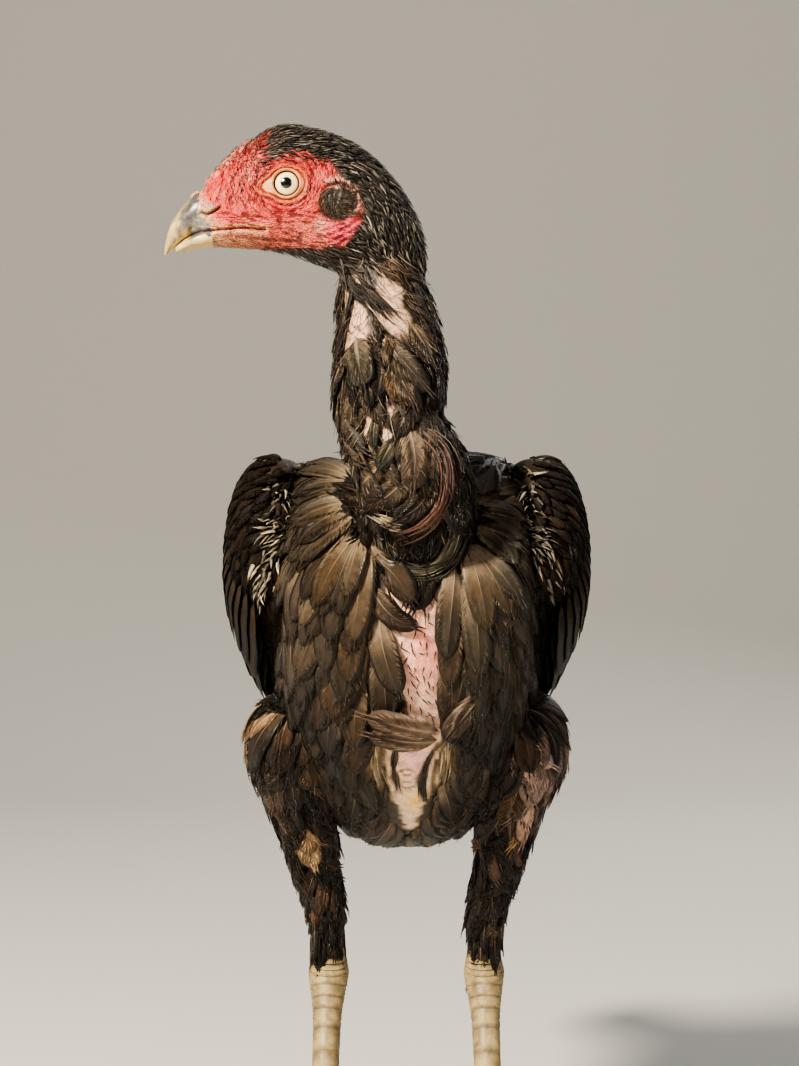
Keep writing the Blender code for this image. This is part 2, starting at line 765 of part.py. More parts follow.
def shank(name, side):
    """The bare leg from hock to foot, with broad scutes stepped down its front."""
    hock, foot = mirrored(HOCK, side), mirrored(FOOT_TOP, side)
    into_thigh = mirrored(THIGH[-1][:3], side) - hock
    centres, radii = [], []
    for share, size in ((1.25, 0.80), (0.70, 0.90), (0.30, 0.98), (0.0, 1.0)):
        centres.append(hock + into_thigh * share)
        radii.append((HOCK_RADIUS * size, HOCK_RADIUS * size))
    first, last = 0.10, 0.94
    for k in range(SHANK_SCUTES):
        for part, step in ((0.0, 0.0), (0.92, SCUTE_STEP)):
            t = first + (last - first) * (k + part) / SHANK_SCUTES
            centres.append(hock + (foot - hock) * t)
            radius = SHANK_RADIUS + 0.0016 * max(0.0, 0.2 - t) / 0.2 + step
            radii.append((radius, radius * 1.12))
    for share in (1.0, 1.08):
        centres.append(hock + (foot - hock) * share)
        radii.append((SHANK_RADIUS * 1.05, SHANK_RADIUS * 1.2))
    return lofted(name, tube_rings(centres, radii, LEG_SIDES), "scale")


def toe_path(side, turn, length):
    """The toe's centre line on the floor, from the ball of the foot."""
    angle = math.radians(turn)
    ahead = np.array((side * math.sin(angle), -math.cos(angle), 0.0))
    root = mirrored((FOOT_TOP.x, FOOT_TOP.y - 0.003, 0.0), side)
    return root, ahead, length


def toe(name, side, turn, length, radius):
    root, ahead, length = toe_path(side, turn, length)
    centres, radii = [], []
    joints = 7
    for k in range(joints):
        t = k / (joints - 1)
        size = radius * (1 - 0.42 * t)
        pad = 0.10 * math.cos(t * 6 * math.pi)
        centre = root + ahead * (length * t - radius * 0.3)
        centre[2] = size * 0.86 + 0.006 * max(0.0, 0.25 - t) / 0.25
        centres.append(centre)
        radii.append((size * (1 + pad), size))
    rings = tube_rings(centres, radii, TOE_SIDES, reference=(0.0, 0.0, 1.0))
    flat = [[(p[0], p[1], max(p[2], 0.0)) for p in ring] for ring in rings]
    return lofted(name, flat, "scale")


def foot(name, side):
    """The four toes joined in the ball of the foot, flat underneath."""
    pieces = [toe(f"{name} {n}", side, a, l, r) for n, a, l, r in TOES]
    centres = [mirrored((FOOT_TOP.x, FOOT_TOP.y, z), side) for z, _ in FOOT_BALL]
    radii = [(size, size * 1.15) for _, size in FOOT_BALL]
    middle = lofted(name, tube_rings(centres, radii, LEG_SIDES), "scale")
    return fused(middle, pieces)


def claw(name, side, turn, length):
    root, ahead, length = toe_path(side, turn, length)
    centres, radii = [], []
    for k in range(5):
        t = k / 4
        centre = root + ahead * (length - 0.0008 + CLAW_LENGTH * t)
        centre[2] = 0.0030 + 0.0012 * math.sin(math.pi * t) - 0.0018 * t
        centres.append(centre)
        size = CLAW_RADIUS * (1 - 0.88 * t**1.3)
        radii.append((size, size * 0.8))
    rings = tube_rings(centres, radii, 7, reference=(0.0, 0.0, 1.0))
    flat = [[(p[0], p[1], max(p[2], GAP)) for p in ring] for ring in rings]
    return lofted(name, flat, "horn")


def ball(name, centre, radius, look, squash=(1.0, 1.0, 1.0), steps=(12, 6)):
    """A sphere or ellipsoid as a loft of rings along z, with small caps."""
    around, high = steps
    rings = []
    for r in range(high):
        polar = math.pi * (r + 0.5) / high
        ring = []
        for k in range(around):
            a = 2 * math.pi * k / around
            unit = (
                math.sin(polar) * math.cos(a),
                math.sin(polar) * math.sin(a),
                math.cos(polar),
            )
            ring.append([c + radius * s * u for c, s, u in zip(centre, squash, unit)])
        rings.append(ring)
    return lofted(name, rings, look)


def eye_centre(side):
    return (EYE_X, HEAD_Y - side * eye_depth(), EYE_Z)


def eye_depth():
    """How far the eyeball's centre lies from the head's middle plane."""
    return head_row(EYE_X)[2] + EYE_PROUD - EYE_BALL


def main():
    for obj in list(bpy.data.objects):
        bpy.data.objects.remove(obj)

    trunk()

    whole_neck = neck()
    cut(whole_neck, trunk("trunk cutter", GAP), head_core("head cutter", GAP))
    lower = whole_neck.copy()
    lower.data = whole_neck.data.copy()
    bpy.context.scene.collection.objects.link(lower)
    whole_neck.name, lower.name = "neck_upper", "neck_lower"
    part_neck(whole_neck, above=True)
    part_neck(lower, above=False)

    head()
    for side, word in ((1, "left"), (-1, "right")):
        wing(f"wing_{word}", side)
        limb = thigh(f"thigh_{word}", side)
        cut(limb, trunk("trunk cutter", GAP))
        cut(limb, wing_form("wing cutter", side, WING_TIP, 12, ((0.0, 0.0),), VANE_CLEARANCE))
        lower_leg = shank(f"shank_{word}", side)
        cut(lower_leg, thigh("thigh cutter", side, GAP))
        pad = foot(f"foot_{word}", side)
        for toe_name, turn, length, radius in TOES:
            nail = claw(f"claw_{word}_{toe_name}", side, turn, length)
            cut(nail, grown_copy(pad))
        cut(pad, grown_copy(lower_leg))
    tail()


def grown_copy(obj):
    """A copy of obj pushed out by the gap along its normals, to cut its neighbour with."""
    twin = obj.copy()
    twin.data = obj.data.copy()
    bpy.context.scene.collection.objects.link(twin)
    work = bmesh.new()
    work.from_mesh(twin.data)
    work.normal_update()
    for vertex in work.verts:
        vertex.co += vertex.normal * GAP * 1.3
    work.to_mesh(twin.data)
    work.free()
    return twin


def part_neck(obj, above):
    """Keeps the neck above or below its dividing plane, less half the gap."""
    reach = 0.2
    middle = NECK_CUT_Z + (-1 if above else 1) * (reach / 2 - GAP / 2)
    cutter = slab("neck divider", middle, thickness=reach)
    cut(obj, cutter)


main()
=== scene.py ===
"""The looks of the aseel hen: skin, feathers, eyes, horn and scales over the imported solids.

Metres, +Z up. Shapes are laid out from the point of the floor under the hen's shoulders, as
the solids are, and SHIFT moves them into the frame. The hen faces -Y and looks towards -X.
First comes one skin round all the flesh, then the coat in joined meshes, each feather's centre
line laid over the skin, then eyes, bill, legs and claws, and last the camera and the studio.
"""

import math

import bmesh
import bpy
import numpy as np
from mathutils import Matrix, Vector
from mathutils.bvhtree import BVHTree
from mathutils.kdtree import KDTree


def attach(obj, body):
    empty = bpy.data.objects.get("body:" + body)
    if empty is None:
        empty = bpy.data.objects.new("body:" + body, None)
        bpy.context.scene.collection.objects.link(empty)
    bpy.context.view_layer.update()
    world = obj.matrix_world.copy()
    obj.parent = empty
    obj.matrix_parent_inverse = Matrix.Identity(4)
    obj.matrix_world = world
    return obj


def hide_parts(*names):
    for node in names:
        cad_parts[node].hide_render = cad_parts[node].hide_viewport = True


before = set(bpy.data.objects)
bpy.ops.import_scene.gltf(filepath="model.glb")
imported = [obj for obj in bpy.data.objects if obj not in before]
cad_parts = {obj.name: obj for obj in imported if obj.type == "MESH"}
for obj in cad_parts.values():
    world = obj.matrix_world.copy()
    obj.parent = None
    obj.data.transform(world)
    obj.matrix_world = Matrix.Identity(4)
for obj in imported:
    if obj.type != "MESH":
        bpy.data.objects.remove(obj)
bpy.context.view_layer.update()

SHIFT = np.array((0.0094, -0.0665, 0.0))
MM = 0.001
SIDES = ((1, "left"), (-1, "right"))

# The hen's standing height and half width over the shoulders, coat included
STANDING_HEIGHT = 0.4505
SHOULDER_HALF = 0.0755

# Trunk: back (y, z), breast or belly (y, z), half width, squareness of the ring
TRUNK = (
    (-0.040, 0.312, -0.062, 0.292, 0.030, 2.1),
    (-0.014, 0.3235, -0.076, 0.262, 0.0505, 3.3),
    (0.022, 0.317, -0.068, 0.226, 0.056, 2.8),
    (0.058, 0.288, -0.036, 0.183, 0.058, 2.3),
    (0.088, 0.254, 0.018, 0.1545, 0.053, 2.1),
    (0.110, 0.227, 0.072, 0.157, 0.040, 2.0),
    (0.126, 0.209, 0.112, 0.178, 0.023, 2.0),
    (0.137, 0.198, 0.131, 0.187, 0.008, 2.0),
)
# Neck: centre, radius across the bird, radius along it
NECK = (
    (0.003, -0.012, 0.284, 0.026, 0.026),
    (0.004, -0.044, 0.287, 0.025, 0.023),
    (0.004, -0.068, 0.297, 0.0235, 0.022),
    (0.002, -0.078, 0.312, 0.0235, 0.0215),
    (-0.0072, -0.075, 0.330, 0.0214, 0.0205),
    (-0.0068, -0.068, 0.348, 0.0232, 0.0205),
    (-0.0074, -0.061, 0.364, 0.0220, 0.0195),
    (-0.0092, -0.055, 0.380, 0.0200, 0.0175),
    (-0.0118, -0.053, 0.396, 0.0183, 0.0160),
    (-0.016, -0.052, 0.410, 0.0150, 0.0140),
)
# Head, seen from its left: x, drop of its top and of its bottom below the crown, half width
HEAD_Y = -0.052
HEAD_SQUARE = 2.25
HEAD = (
    (-0.0850, 0.0300, 0.0440, 0.0062),
    (-0.0790, 0.0233, 0.0475, 0.0098),
    (-0.0710, 0.0155, 0.0485, 0.0132),
    (-0.0620, 0.0068, 0.0490, 0.0162),
    (-0.0540, 0.0015, 0.0495, 0.0184),
    (-0.0460, 0.0000, 0.0510, 0.0194),
    (-0.0360, 0.0020, 0.0545, 0.0194),
    (-0.0260, 0.0055, 0.0580, 0.0186),
    (-0.0150, 0.0125, 0.0590, 0.0172),
    (-0.0050, 0.0235, 0.0580, 0.0145),
    (0.0030, 0.0375, 0.0585, 0.0100),
    (0.0062, 0.0480, 0.0590, 0.0050),
)
EYE_X, EYE_Z = -0.0468, 0.4245
EYE_BALL = 0.0068
EYE_PROUD = 0.0003

# Bill: x, z of the ridge, z of the cutting edge, half width
UPPER_BILL = (
    (-0.0760, 0.4225, 0.4090, 0.0080),
    (-0.0826, 0.4232, 0.4075, 0.0075),
    (-0.0867, 0.4200, 0.4054, 0.0066),
    (-0.0902, 0.4158, 0.4032, 0.0054),
    (-0.0930, 0.4112, 0.4008, 0.0040),
    (-0.0948, 0.4062, 0.3990, 0.0026),
    (-0.0957, 0.4012, 0.3982, 0.0010),
)
LOWER_BILL = (
    (-0.0760, 0.4086, 0.4020, 0.0076),
    (-0.0815, 0.4072, 0.4013, 0.0070),
    (-0.0855, 0.4054, 0.4006, 0.0060),
    (-0.0885, 0.4035, 0.4000, 0.0044),
    (-0.0912, 0.4012, 0.3995, 0.0022),
)

# Folded wing, in its own frame: along from the wrist to the tip, up towards the back, and out
WING_WRIST = Vector((0.0, -0.052, 0.285))
WING_SLOPE = math.radians(25)
# along, lower edge, upper edge, how far inside the shoulder, thickness, how far the upper
# and the lower edge lean in to the body
WING = (
    (-0.002, -0.004, 0.024, 0.0115, 0.016, 0.003, 0.004),
    (0.004, -0.014, 0.041, 0.0050, 0.026, 0.004, 0.007),
    (0.014, -0.022, 0.0495, 0.0018, 0.034, 0.005, 0.010),
    (0.034, -0.030, 0.0520, 0.0000, 0.038, 0.011, 0.014),
    (0.070, -0.029, 0.049, 0.0000, 0.032, 0.023, 0.012),
    (0.110, -0.026, 0.043, 0.0040, 0.024, 0.029, 0.009),
    (0.150, -0.022, 0.031, 0.0140, 0.016, 0.022, 0.006),
    (0.190, -0.016, 0.014, 0.0290, 0.010, 0.011, 0.003),
    (0.221, -0.009, 0.001, 0.0440, 0.005, 0.002, 0.001),
)
WING_FLESH_END = 0.135

# Tail: a steep closed fan that droops, rounded across like a roof
TAIL_ROOT = np.array((0.0, 0.096, 0.2140))
TAIL_DROOP = math.radians(17)
TAIL_ROUND = 0.0240
TAIL_SPACING = 0.0062
TAIL_REACH = 0.034
TAIL_OPENING = (0.80, 1.25)
TAIL_CORE_DEPTH = 0.0045
TAIL_CORE = (
    (0.000, 0.0180, 0.0160),
    (0.024, 0.0185, 0.0170),
    (0.044, 0.0170, 0.0150),
    (0.062, 0.0130, 0.0110),
    (0.070, 0.0080, 0.0060),
)

# Legs: centre, radius
THIGH = (
    (0.0400, -0.008, 0.216, 0.0150),
    (0.0450, -0.004, 0.206, 0.0225),
    (0.0455, 0.003, 0.194, 0.0222),
    (0.0440, 0.010, 0.182, 0.0186),
    (0.0421, 0.018, 0.168, 0.0152),
    (0.0396, 0.027, 0.150, 0.0124),
    (0.0362, 0.036, 0.1325, 0.0104),
    (0.0338, 0.0435, 0.1177, 0.0090),
    (0.0336, 0.0475, 0.106, 0.0082),
)
THIGH_FOOT = np.array((0.0338, 0.0435, 0.1177))
HOCK = np.array((0.0340, 0.0500, 0.096))
FOOT_TOP = np.array((0.0360, 0.0200, 0.0175))
HOCK_RADIUS = 0.0084
TOES = (
    ("middle", 2, 0.050, 0.0052),
    ("inner", -34, 0.036, 0.0047),
    ("outer", 40, 0.038, 0.0046),
    ("hind", 168, 0.018, 0.0042),
)
CLAW_LENGTH = 0.0125
CLAW_RADIUS = 0.0026

# How far the skin lies inside the solids, which reach to the tips of the coat
COAT = {
    "trunk": 0.0062, "neck": 0.0042, "thigh": 0.0042, "wing": 0.0050, "tail": 0.0040, "crown": 0.0010,
}
SKIN_VOXEL = 0.0016


def smooth(low, high, values):
    """0 below low, 1 above high, and an even turn between them."""
    share = np.clip((values - low) / (high - low), 0.0, 1.0)
    return share * share * (3 - 2 * share)


def hump(values, centre, width):
    return np.exp(-(((values - centre) / width) ** 2))


def mixed(one, two, share):
    share = np.asarray(share)[..., None]
    return np.asarray(one) * (1 - share) + np.asarray(two) * share


def unit(vectors):
    return vectors / np.maximum(np.linalg.norm(vectors, axis=-1, keepdims=True), 1e-12)


def refined(stations, count):
    """The same smooth run of stations, read at count even steps (a Catmull-Rom curve)."""
    rows = np.array(stations, float)
    padded = np.vstack([2 * rows[0] - rows[1], rows, 2 * rows[-1] - rows[-2]])
    places = np.linspace(0, len(rows) - 1, count)
    i = np.minimum(places.astype(int), len(rows) - 2)
    t = (places - i)[:, None]
    a, b, c, d = (padded[i + k] for k in range(4))
    return 0.5 * (2 * b + (c - a) * t + (2 * a - 5 * b + 4 * c - d) * t**2 + (3 * b - a - 3 * c + d) * t**3)


def superellipse(count, squareness):
    angles = 2 * math.pi * np.arange(count) / count
    c, s = np.cos(angles), np.sin(angles)
    power = 2 / squareness
    return np.sign(c) * np.abs(c) ** power, np.sign(s) * np.abs(s) ** power


def oval_ring(top, bottom, side, squareness, count):
    """A ring between two points, with side as its half width's vector."""
    across, along = superellipse(count, squareness)
    middle, up = (top + bottom) / 2, (top - bottom) / 2
    return middle + across[:, None] * side + along[:, None] * up


ACROSS, UPWARD = (1.0, 0.0, 0.0), (0.0, 0.0, 1.0)


def tube_rings(centres, first, second, count, reference=ACROSS):
    """Rings square to a path, with a radius along the reference and one across it."""
    centres = np.array(centres, float)
    ahead = unit(np.gradient(centres, axis=0))
    reference = np.array(reference)
    one = unit(reference - ahead * (ahead @ reference)[:, None])
    two = np.cross(ahead, one)
    angles = 2 * math.pi * np.arange(count) / count
    c, s = np.cos(angles)[None, :, None], np.sin(angles)[None, :, None]
    first, second = np.broadcast_to(first, len(centres)), np.broadcast_to(second, len(centres))
    reach = one[:, None] * c * first[:, None, None]
    return centres[:, None] + reach + two[:, None] * s * second[:, None, None]


def loft_faces(rings, sides):
    """Triangles of a closed loft whose two end points follow its rings."""
    r, k = np.meshgrid(np.arange(rings - 1), np.arange(sides), indexing="ij")
    near, far, nxt = r * sides, (r + 1) * sides, (k + 1) % sides
    one = np.stack([near + k, near + nxt, far + nxt], -1).reshape(-1, 3)
    two = np.stack([near + k, far + nxt, far + k], -1).reshape(-1, 3)
    k = np.arange(sides)
    first, last = rings * sides, rings * sides + 1
    start = np.stack([np.full(sides, first), (k + 1) % sides, k], -1)
    end_row = (rings - 1) * sides
    end = np.stack([np.full(sides, last), end_row + k, end_row + (k + 1) % sides], -1)
    return np.vstack([one, two, start, end])


def outward(points, faces):
    """The faces, turned over if they enclose a negative volume."""
    a, b, c = (points[faces[:, k]] for k in range(3))
    volume = np.einsum("ij,ij->i", a - points.mean(axis=0), np.cross(b - a, c - a)).sum()
    return faces if volume > 0 else faces[:, ::-1]


def loft(rings):
    """Points and triangles of a closed loft through an array of rings."""
    rings = np.asarray(rings, float)
    count, sides = rings.shape[:2]
    points = np.vstack([rings.reshape(-1, 3), rings[0].mean(axis=0), rings[-1].mean(axis=0)])
    return points, outward(points, loft_faces(count, sides))


def mesh_object(name, points, faces, look, colours=None, vanes=None, uv=None):
    """One smooth mesh from arrays of points and faces, with the attributes that its look reads."""
    mesh = bpy.data.meshes.new(name)
    count, sides = faces.shape
    mesh.vertices.add(len(points))
    mesh.vertices.foreach_set("co", (points + SHIFT).astype(np.float32).ravel())
    mesh.loops.add(count * sides)
    mesh.loops.foreach_set("vertex_index", faces.astype(np.int32).ravel())
    mesh.polygons.add(count)
    mesh.polygons.foreach_set("loop_start", np.arange(0, count * sides, sides, dtype=np.int32))
    mesh.polygons.foreach_set("use_smooth", np.ones(count, bool))
    mesh.update(calc_edges=True)
    if colours is not None:
        layer = mesh.attributes.new("tint", "FLOAT_COLOR", "POINT")
        rgba = np.hstack([np.clip(colours, 0, 1), np.ones((len(points), 1))])
        layer.data.foreach_set("color", rgba.astype(np.float32).ravel())
    if vanes is not None:
        layer = mesh.attributes.new("vane", "FLOAT_VECTOR", "POINT")
        layer.data.foreach_set("vector", vanes.astype(np.float32).ravel())
    if uv is not None:
        layer = mesh.uv_layers.new(name="OFBake")
        layer.data.foreach_set("uv", uv[faces.ravel()].astype(np.float32).ravel())
    mesh.materials.append(look)
    obj = bpy.data.objects.new(name, mesh)
    bpy.context.scene.collection.objects.link(obj)
    return obj


def piece(obj, slot, *nodes):
    """Hangs a piece on the one body, and hides the nodes that it covers."""
    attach(obj, "root")
    if nodes:
        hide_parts(*nodes)
    return obj


# The skin: one surface round trunk, neck, head, thighs and the flesh of wings and tail


def trunk_rings(inset, rings, sides):
    made = []
    for by, bz, vy, vz, half, square in refined(TRUNK, rings):
        top, bottom = np.array((0, by, bz)), np.array((0, vy, vz))
        up = unit(top - bottom) * min(inset, 0.35 * np.linalg.norm(top - bottom))
        side = np.array((max(half - inset, half * 0.4), 0, 0))
        made.append(oval_ring(top - up, bottom + up, side, square, sides))
    return made


def neck_rings(inset, rings, sides):
    rows = refined(NECK, rings)
    return tube_rings(rows[:, :3], rows[:, 3] - inset, rows[:, 4] - inset, sides)


def head_rings(inset, rings, sides):
    made = []
    for x, top, bottom, half in refined(HEAD, rings):
        high = np.array((x, HEAD_Y, STANDING_HEIGHT - top - inset))
        low = np.array((x, HEAD_Y, STANDING_HEIGHT - bottom))
        made.append(oval_ring(high, low, np.array((0, half, 0)), HEAD_SQUARE, sides))
    return made


def thigh_rings(side, inset, rings, sides):
    rows = refined(THIGH, rings)
    centres = rows[:, :3] * (side, 1, 1)
    radii = np.maximum(rows[:, 3] - inset, 0.0062)
    return tube_rings(centres, radii, radii, sides)


def wing_place(side, along, up, out):
    """A point of the wing's own frame, in the layout."""
    y = WING_WRIST.y + along * math.cos(WING_SLOPE) + up * math.sin(WING_SLOPE)
    z = WING_WRIST.z - along * math.sin(WING_SLOPE) + up * math.cos(WING_SLOPE)
    return np.stack(np.broadcast_arrays(side * out, y, z), -1)


WING_TABLE = refined(WING, 120)


def wing_row(along):
    """Lower edge, upper edge, inset, thickness and the two leans at places along the wing."""
    return [np.interp(along, WING_TABLE[:, 0], WING_TABLE[:, k]) for k in range(1, 7)]


def wing_inset(share, inset, lean_high, lean_low):
    """How far inside the shoulder the wing's surface lies; share runs from low to high."""
    high, low = np.maximum(0.0, (share - 0.5) / 0.5), np.maximum(0.0, (0.4 - share) / 0.4)
    return inset + lean_high * high**2 + lean_low * low**2


def wing_surface(side, along, share):
    low, high, inset, _, lean_high, lean_low = wing_row(along)
    out = SHOULDER_HALF - wing_inset(share, inset, lean_high, lean_low)
    return wing_place(side, along, low + (high - low) * share, out)


def wing_outward(side, along, share):
    step, rise = 0.002, 0.03
    ahead = wing_surface(side, along + step, share) - wing_surface(side, along - step, share)
    above = wing_surface(side, along, share + rise) - wing_surface(side, along, share - rise)
    normal = unit(np.cross(ahead, above))
    return normal * np.sign(normal[..., :1] * side)


def wing_rings(side, inset, rings, sides):
    made = []
    across, up = superellipse(sides, 3.0)
    share = (up + 1) / 2
    for along in np.linspace(0.002, WING_FLESH_END, rings):
        low, high, back, thick, lean_high, lean_low = wing_row(along)
        half = max(thick / 2 - inset, 0.003)
        surface = SHOULDER_HALF - wing_inset(share, back, lean_high, lean_low)
        out = surface - inset - half + across * half
        made.append(wing_place(side, along, low + (high - low) * share - up * inset, out))
    return made


def tail_point(along, across, depth):
    """A point under the tail's rounded roof; across runs round it from the ridge."""
    share = np.clip(along / TAIL_REACH, 0.0, 1.0)
    first, last = TAIL_OPENING
    turn = across * (first + (last - first) * share) / TAIL_ROUND
    reach = TAIL_ROUND - depth
    x, up = reach * np.sin(turn), reach * np.cos(turn) - TAIL_ROUND
    y = TAIL_ROOT[1] + along * math.cos(TAIL_DROOP) + up * math.sin(TAIL_DROOP)
    z = TAIL_ROOT[2] - along * math.sin(TAIL_DROOP) + up * math.cos(TAIL_DROOP)
    return np.stack(np.broadcast_arrays(x, y, z), -1)


def tail_rings(inset, rings, sides):
    made = []
    for along, half, deep in refined(TAIL_CORE, rings):
        middle = tail_point(along, 0.0, deep + TAIL_CORE_DEPTH)
        up = np.array((0.0, math.sin(TAIL_DROOP), math.cos(TAIL_DROOP))) * (deep - inset * 0.5)
        side = np.array((half - inset, 0, 0))
        made.append(oval_ring(middle + up, middle - up, side, 2.0, sides))
    return made


def flesh_forms():
    """Each form of flesh, by name, as rings of points."""
    forms = [
        ("trunk", trunk_rings(COAT["trunk"], 48, 56)),
        ("neck", neck_rings(COAT["neck"], 48, 36)),
        ("head", head_rings(COAT["crown"], 48, 36)),
        ("tail", tail_rings(COAT["tail"], 20, 28)),
    ]
    for side, word in SIDES:
        forms.append(("thigh_" + word, thigh_rings(side, COAT["thigh"], 32, 28)))
        forms.append(("wing_" + word, wing_rings(side, COAT["wing"], 32, 36)))
    return forms


def evaluated(obj):
    graph = bpy.context.evaluated_depsgraph_get()
    mesh = bpy.data.meshes.new_from_object(obj.evaluated_get(graph))
    bpy.data.objects.remove(obj)
    return mesh


def as_one_surface(forms, voxel):
    """One surface of quads round all the forms."""
    points, faces, start = [], [], 0
    for _, rings in forms:
        form_points, form_faces = loft(rings)
        points.append(form_points)
        faces.append(form_faces + start)
        start += len(form_points)
    mesh = bpy.data.meshes.new("forms")
    mesh.from_pydata(np.vstack(points).tolist(), [], np.vstack(faces).tolist())
    obj = bpy.data.objects.new("forms", mesh)
    bpy.context.scene.collection.objects.link(obj)
    remesh = obj.modifiers.new("one surface", "REMESH")
    remesh.mode = "VOXEL"
    remesh.voxel_size = voxel
    return evaluated(obj)


# Well before the hen, where the neck stands clear of the trunk, and the neck's front there
BEFORE_Y, NECK_FOOT_Z, NECK_FRONT_Y = -0.5, 0.29, -0.07


class Surface:
    """A mesh as arrays, with what the coat needs of it: normals, nearest points and smoothing."""

    def __init__(self, mesh):
        self.work = bmesh.new()
        self.work.from_mesh(mesh)
        self.read()

    def read(self):
        self.work.verts.ensure_lookup_table()
        self.points = np.array([v.co[:] for v in self.work.verts])
        self.edges = np.array([[v.index for v in e.verts] for e in self.work.edges])

    def write(self):
        for vertex, place in zip(self.work.verts, self.points):
            vertex.co = place

    def refine(self, chosen, cuts, rounds):
        """Splits the faces whose centre chosen() picks, and rounds what the split leaves flat."""
        centres = np.array([face.calc_center_median()[:] for face in self.work.faces])
        picked = chosen(centres)
        edges = {edge for face, take in zip(self.work.faces, picked) if take for edge in face.edges}
        bmesh.ops.subdivide_edges(self.work, edges=list(edges), cuts=cuts, use_grid_fill=True)
        self.work.verts.index_update()
        self.read()
        self.relax(rounds, chosen(self.points).astype(float))
        self.write()

    def freeze(self):
        bmesh.ops.triangulate(self.work, faces=self.work.faces)
        self.read()
        self.faces = np.array([[v.index for v in f.verts] for f in self.work.faces])
        self.work.free()

    def spread(self, values):
        """Each point's mean of its neighbours' values."""
        total = np.zeros_like(values)
        one, two = self.edges.T
        for column in range(values.shape[1]):
            total[:, column] = np.bincount(one, values[two, column], len(values))
            total[:, column] += np.bincount(two, values[one, column], len(values))
        count = np.bincount(self.edges.ravel(), minlength=len(values))
        return total / count[:, None]

    def relax(self, rounds, weight=1.0):
        """Smooths without shrinking: each round moves in and then most of the way back."""
        weight = np.broadcast_to(weight, len(self.points))[:, None]
        for _ in range(rounds):
            for amount in (0.5, -0.53):
                self.points += (self.spread(self.points) - self.points) * amount * weight

    def measure(self, rounds):
        """Normals of the points, the same smoothed over rounds of neighbours, and face centres."""
        a, b, c = (self.points[self.faces[:, k]] for k in range(3))
        square = np.cross(b - a, c - a)
        normals = np.zeros_like(self.points)
        for k in range(3):
            for axis in range(3):
                normals[:, axis] += np.bincount(self.faces[:, k], square[:, axis], len(normals))
        self.normals = unit(normals)
        soft = self.normals
        for _ in range(rounds):
            soft = unit(self.spread(soft))
        self.centres = (a + b + c) / 3
        self.face_normals = unit(soft[self.faces].mean(axis=1))

    def plant(self):
        self.tree = BVHTree.FromPolygons(self.points.tolist(), self.faces.tolist())

    def found(self, points):
        """Numbers of the faces nearest to points."""
        return np.array([self.tree.find_nearest(point)[2] for point in points.tolist()])

    def from_front(self, spots, deepest=-0.045):
        """Points of the surface straight behind spots (x, z) as seen from the front, and its normals.

        Over the trunk, a spot beside the neck gets the neck's nearest point if the surface
        behind it lies deeper than the deepest.
        """
        places, found = [], []
        for x, z in spots:
            place, _, index, _ = self.tree.ray_cast((x, BEFORE_Y, z), (0, 1, 0))
            if place is None or (z > NECK_FOOT_Z and place[1] > deepest):
                place, _, index, _ = self.tree.find_nearest((x, NECK_FRONT_Y, z))
            places.append(place[:])
            found.append(index)
        return np.array(places), self.face_normals[found]

    def nearest(self, points):
        """Nearest points of the surface, and the soft normals there."""
        places, found = np.empty_like(points), np.empty(len(points), int)
        for k, point in enumerate(points.tolist()):
            place, _, index, _ = self.tree.find_nearest(point)
            places[k], found[k] = place, index
        return places, self.face_normals[found]


# Large odd numbers that mix up the cells and seeds of the noise
CELL_MIX, SEED_MIX, LAST_MIX = (73856093, 19349663, 83492791), 2654435761, 1274126177


def lumps(points, size, seed):
    """Even noise from -1 to 1, with lumps of about a size."""
    cell = np.asarray(points) / size
    base = np.floor(cell).astype(np.int64)
    part = cell - base
    part = part * part * (3 - 2 * part)
    total = np.zeros(len(cell))
    for corner in range(8):
        step = np.array([(corner >> k) & 1 for k in range(3)])
        i, j, k = (base + step).T
        code = (i * CELL_MIX[0]) ^ (j * CELL_MIX[1]) ^ (k * CELL_MIX[2]) ^ (seed * SEED_MIX)
        code = (code ^ (code >> 13)) * LAST_MIX
        value = ((code ^ (code >> 16)) & 0xFFFF) / 32767.5 - 1
        total += value * np.prod(np.where(step, part, 1 - part), axis=1)
    return total


def path_distance(x, z, path):
    """Distance from a path of (x, z) points, and the share of its length at the nearest one."""
    path = np.array(path)
    best, place = np.full(len(x), 1e9), np.zeros(len(x))
    runs = np.linalg.norm(np.diff(path, axis=0), axis=1)
    done = 0.0
    for (ax, az), (bx, bz), run in zip(path[:-1], path[1:], runs):
        t = np.clip(((x - ax) * (bx - ax) + (z - az) * (bz - az)) / run**2, 0, 1)
        distance = np.hypot(x - ax - t * (bx - ax), z - az - t * (bz - az))
        nearer = distance < best
        best[nearer], place[nearer] = distance[nearer], (done + t * run)[nearer]
        done += run
    return best, place / done


def oval_distance(x, z, centre, half):
    """Distance from a centre (x, z) as a share of the half width and half height round it."""
    return np.hypot((x - centre[0]) / half[0], (z - centre[1]) / half[1])


def inside_outline(x, z, outline, edge):
    """1 inside a closed outline of (x, z) points and 0 outside it, turning over an edge."""
    outline = list(outline)
    closed = outline + outline[:1]
    inside = np.zeros(len(x), bool)
    for (ax, az), (bx, bz) in zip(closed[:-1], closed[1:]):
        crosses = (az > z) != (bz > z)
        reach = ax + (z - az) * (bx - ax) / (bz - az if bz != az else 1e-12)
        inside ^= crosses & (x < reach)
    distance, _ = path_distance(x, z, closed)
    return smooth(-edge, edge, np.where(inside, distance, -distance))


# Where the head and the eyes get a finer mesh
HEAD_FROM_Z, HEAD_TO_X = 0.396, 0.004
EYE_FIELD = 0.0125
EYE_FROM_MIDDLE = 0.006


def on_head(points):
    return (points[:, 2] > HEAD_FROM_Z) & (points[:, 0] < HEAD_TO_X)


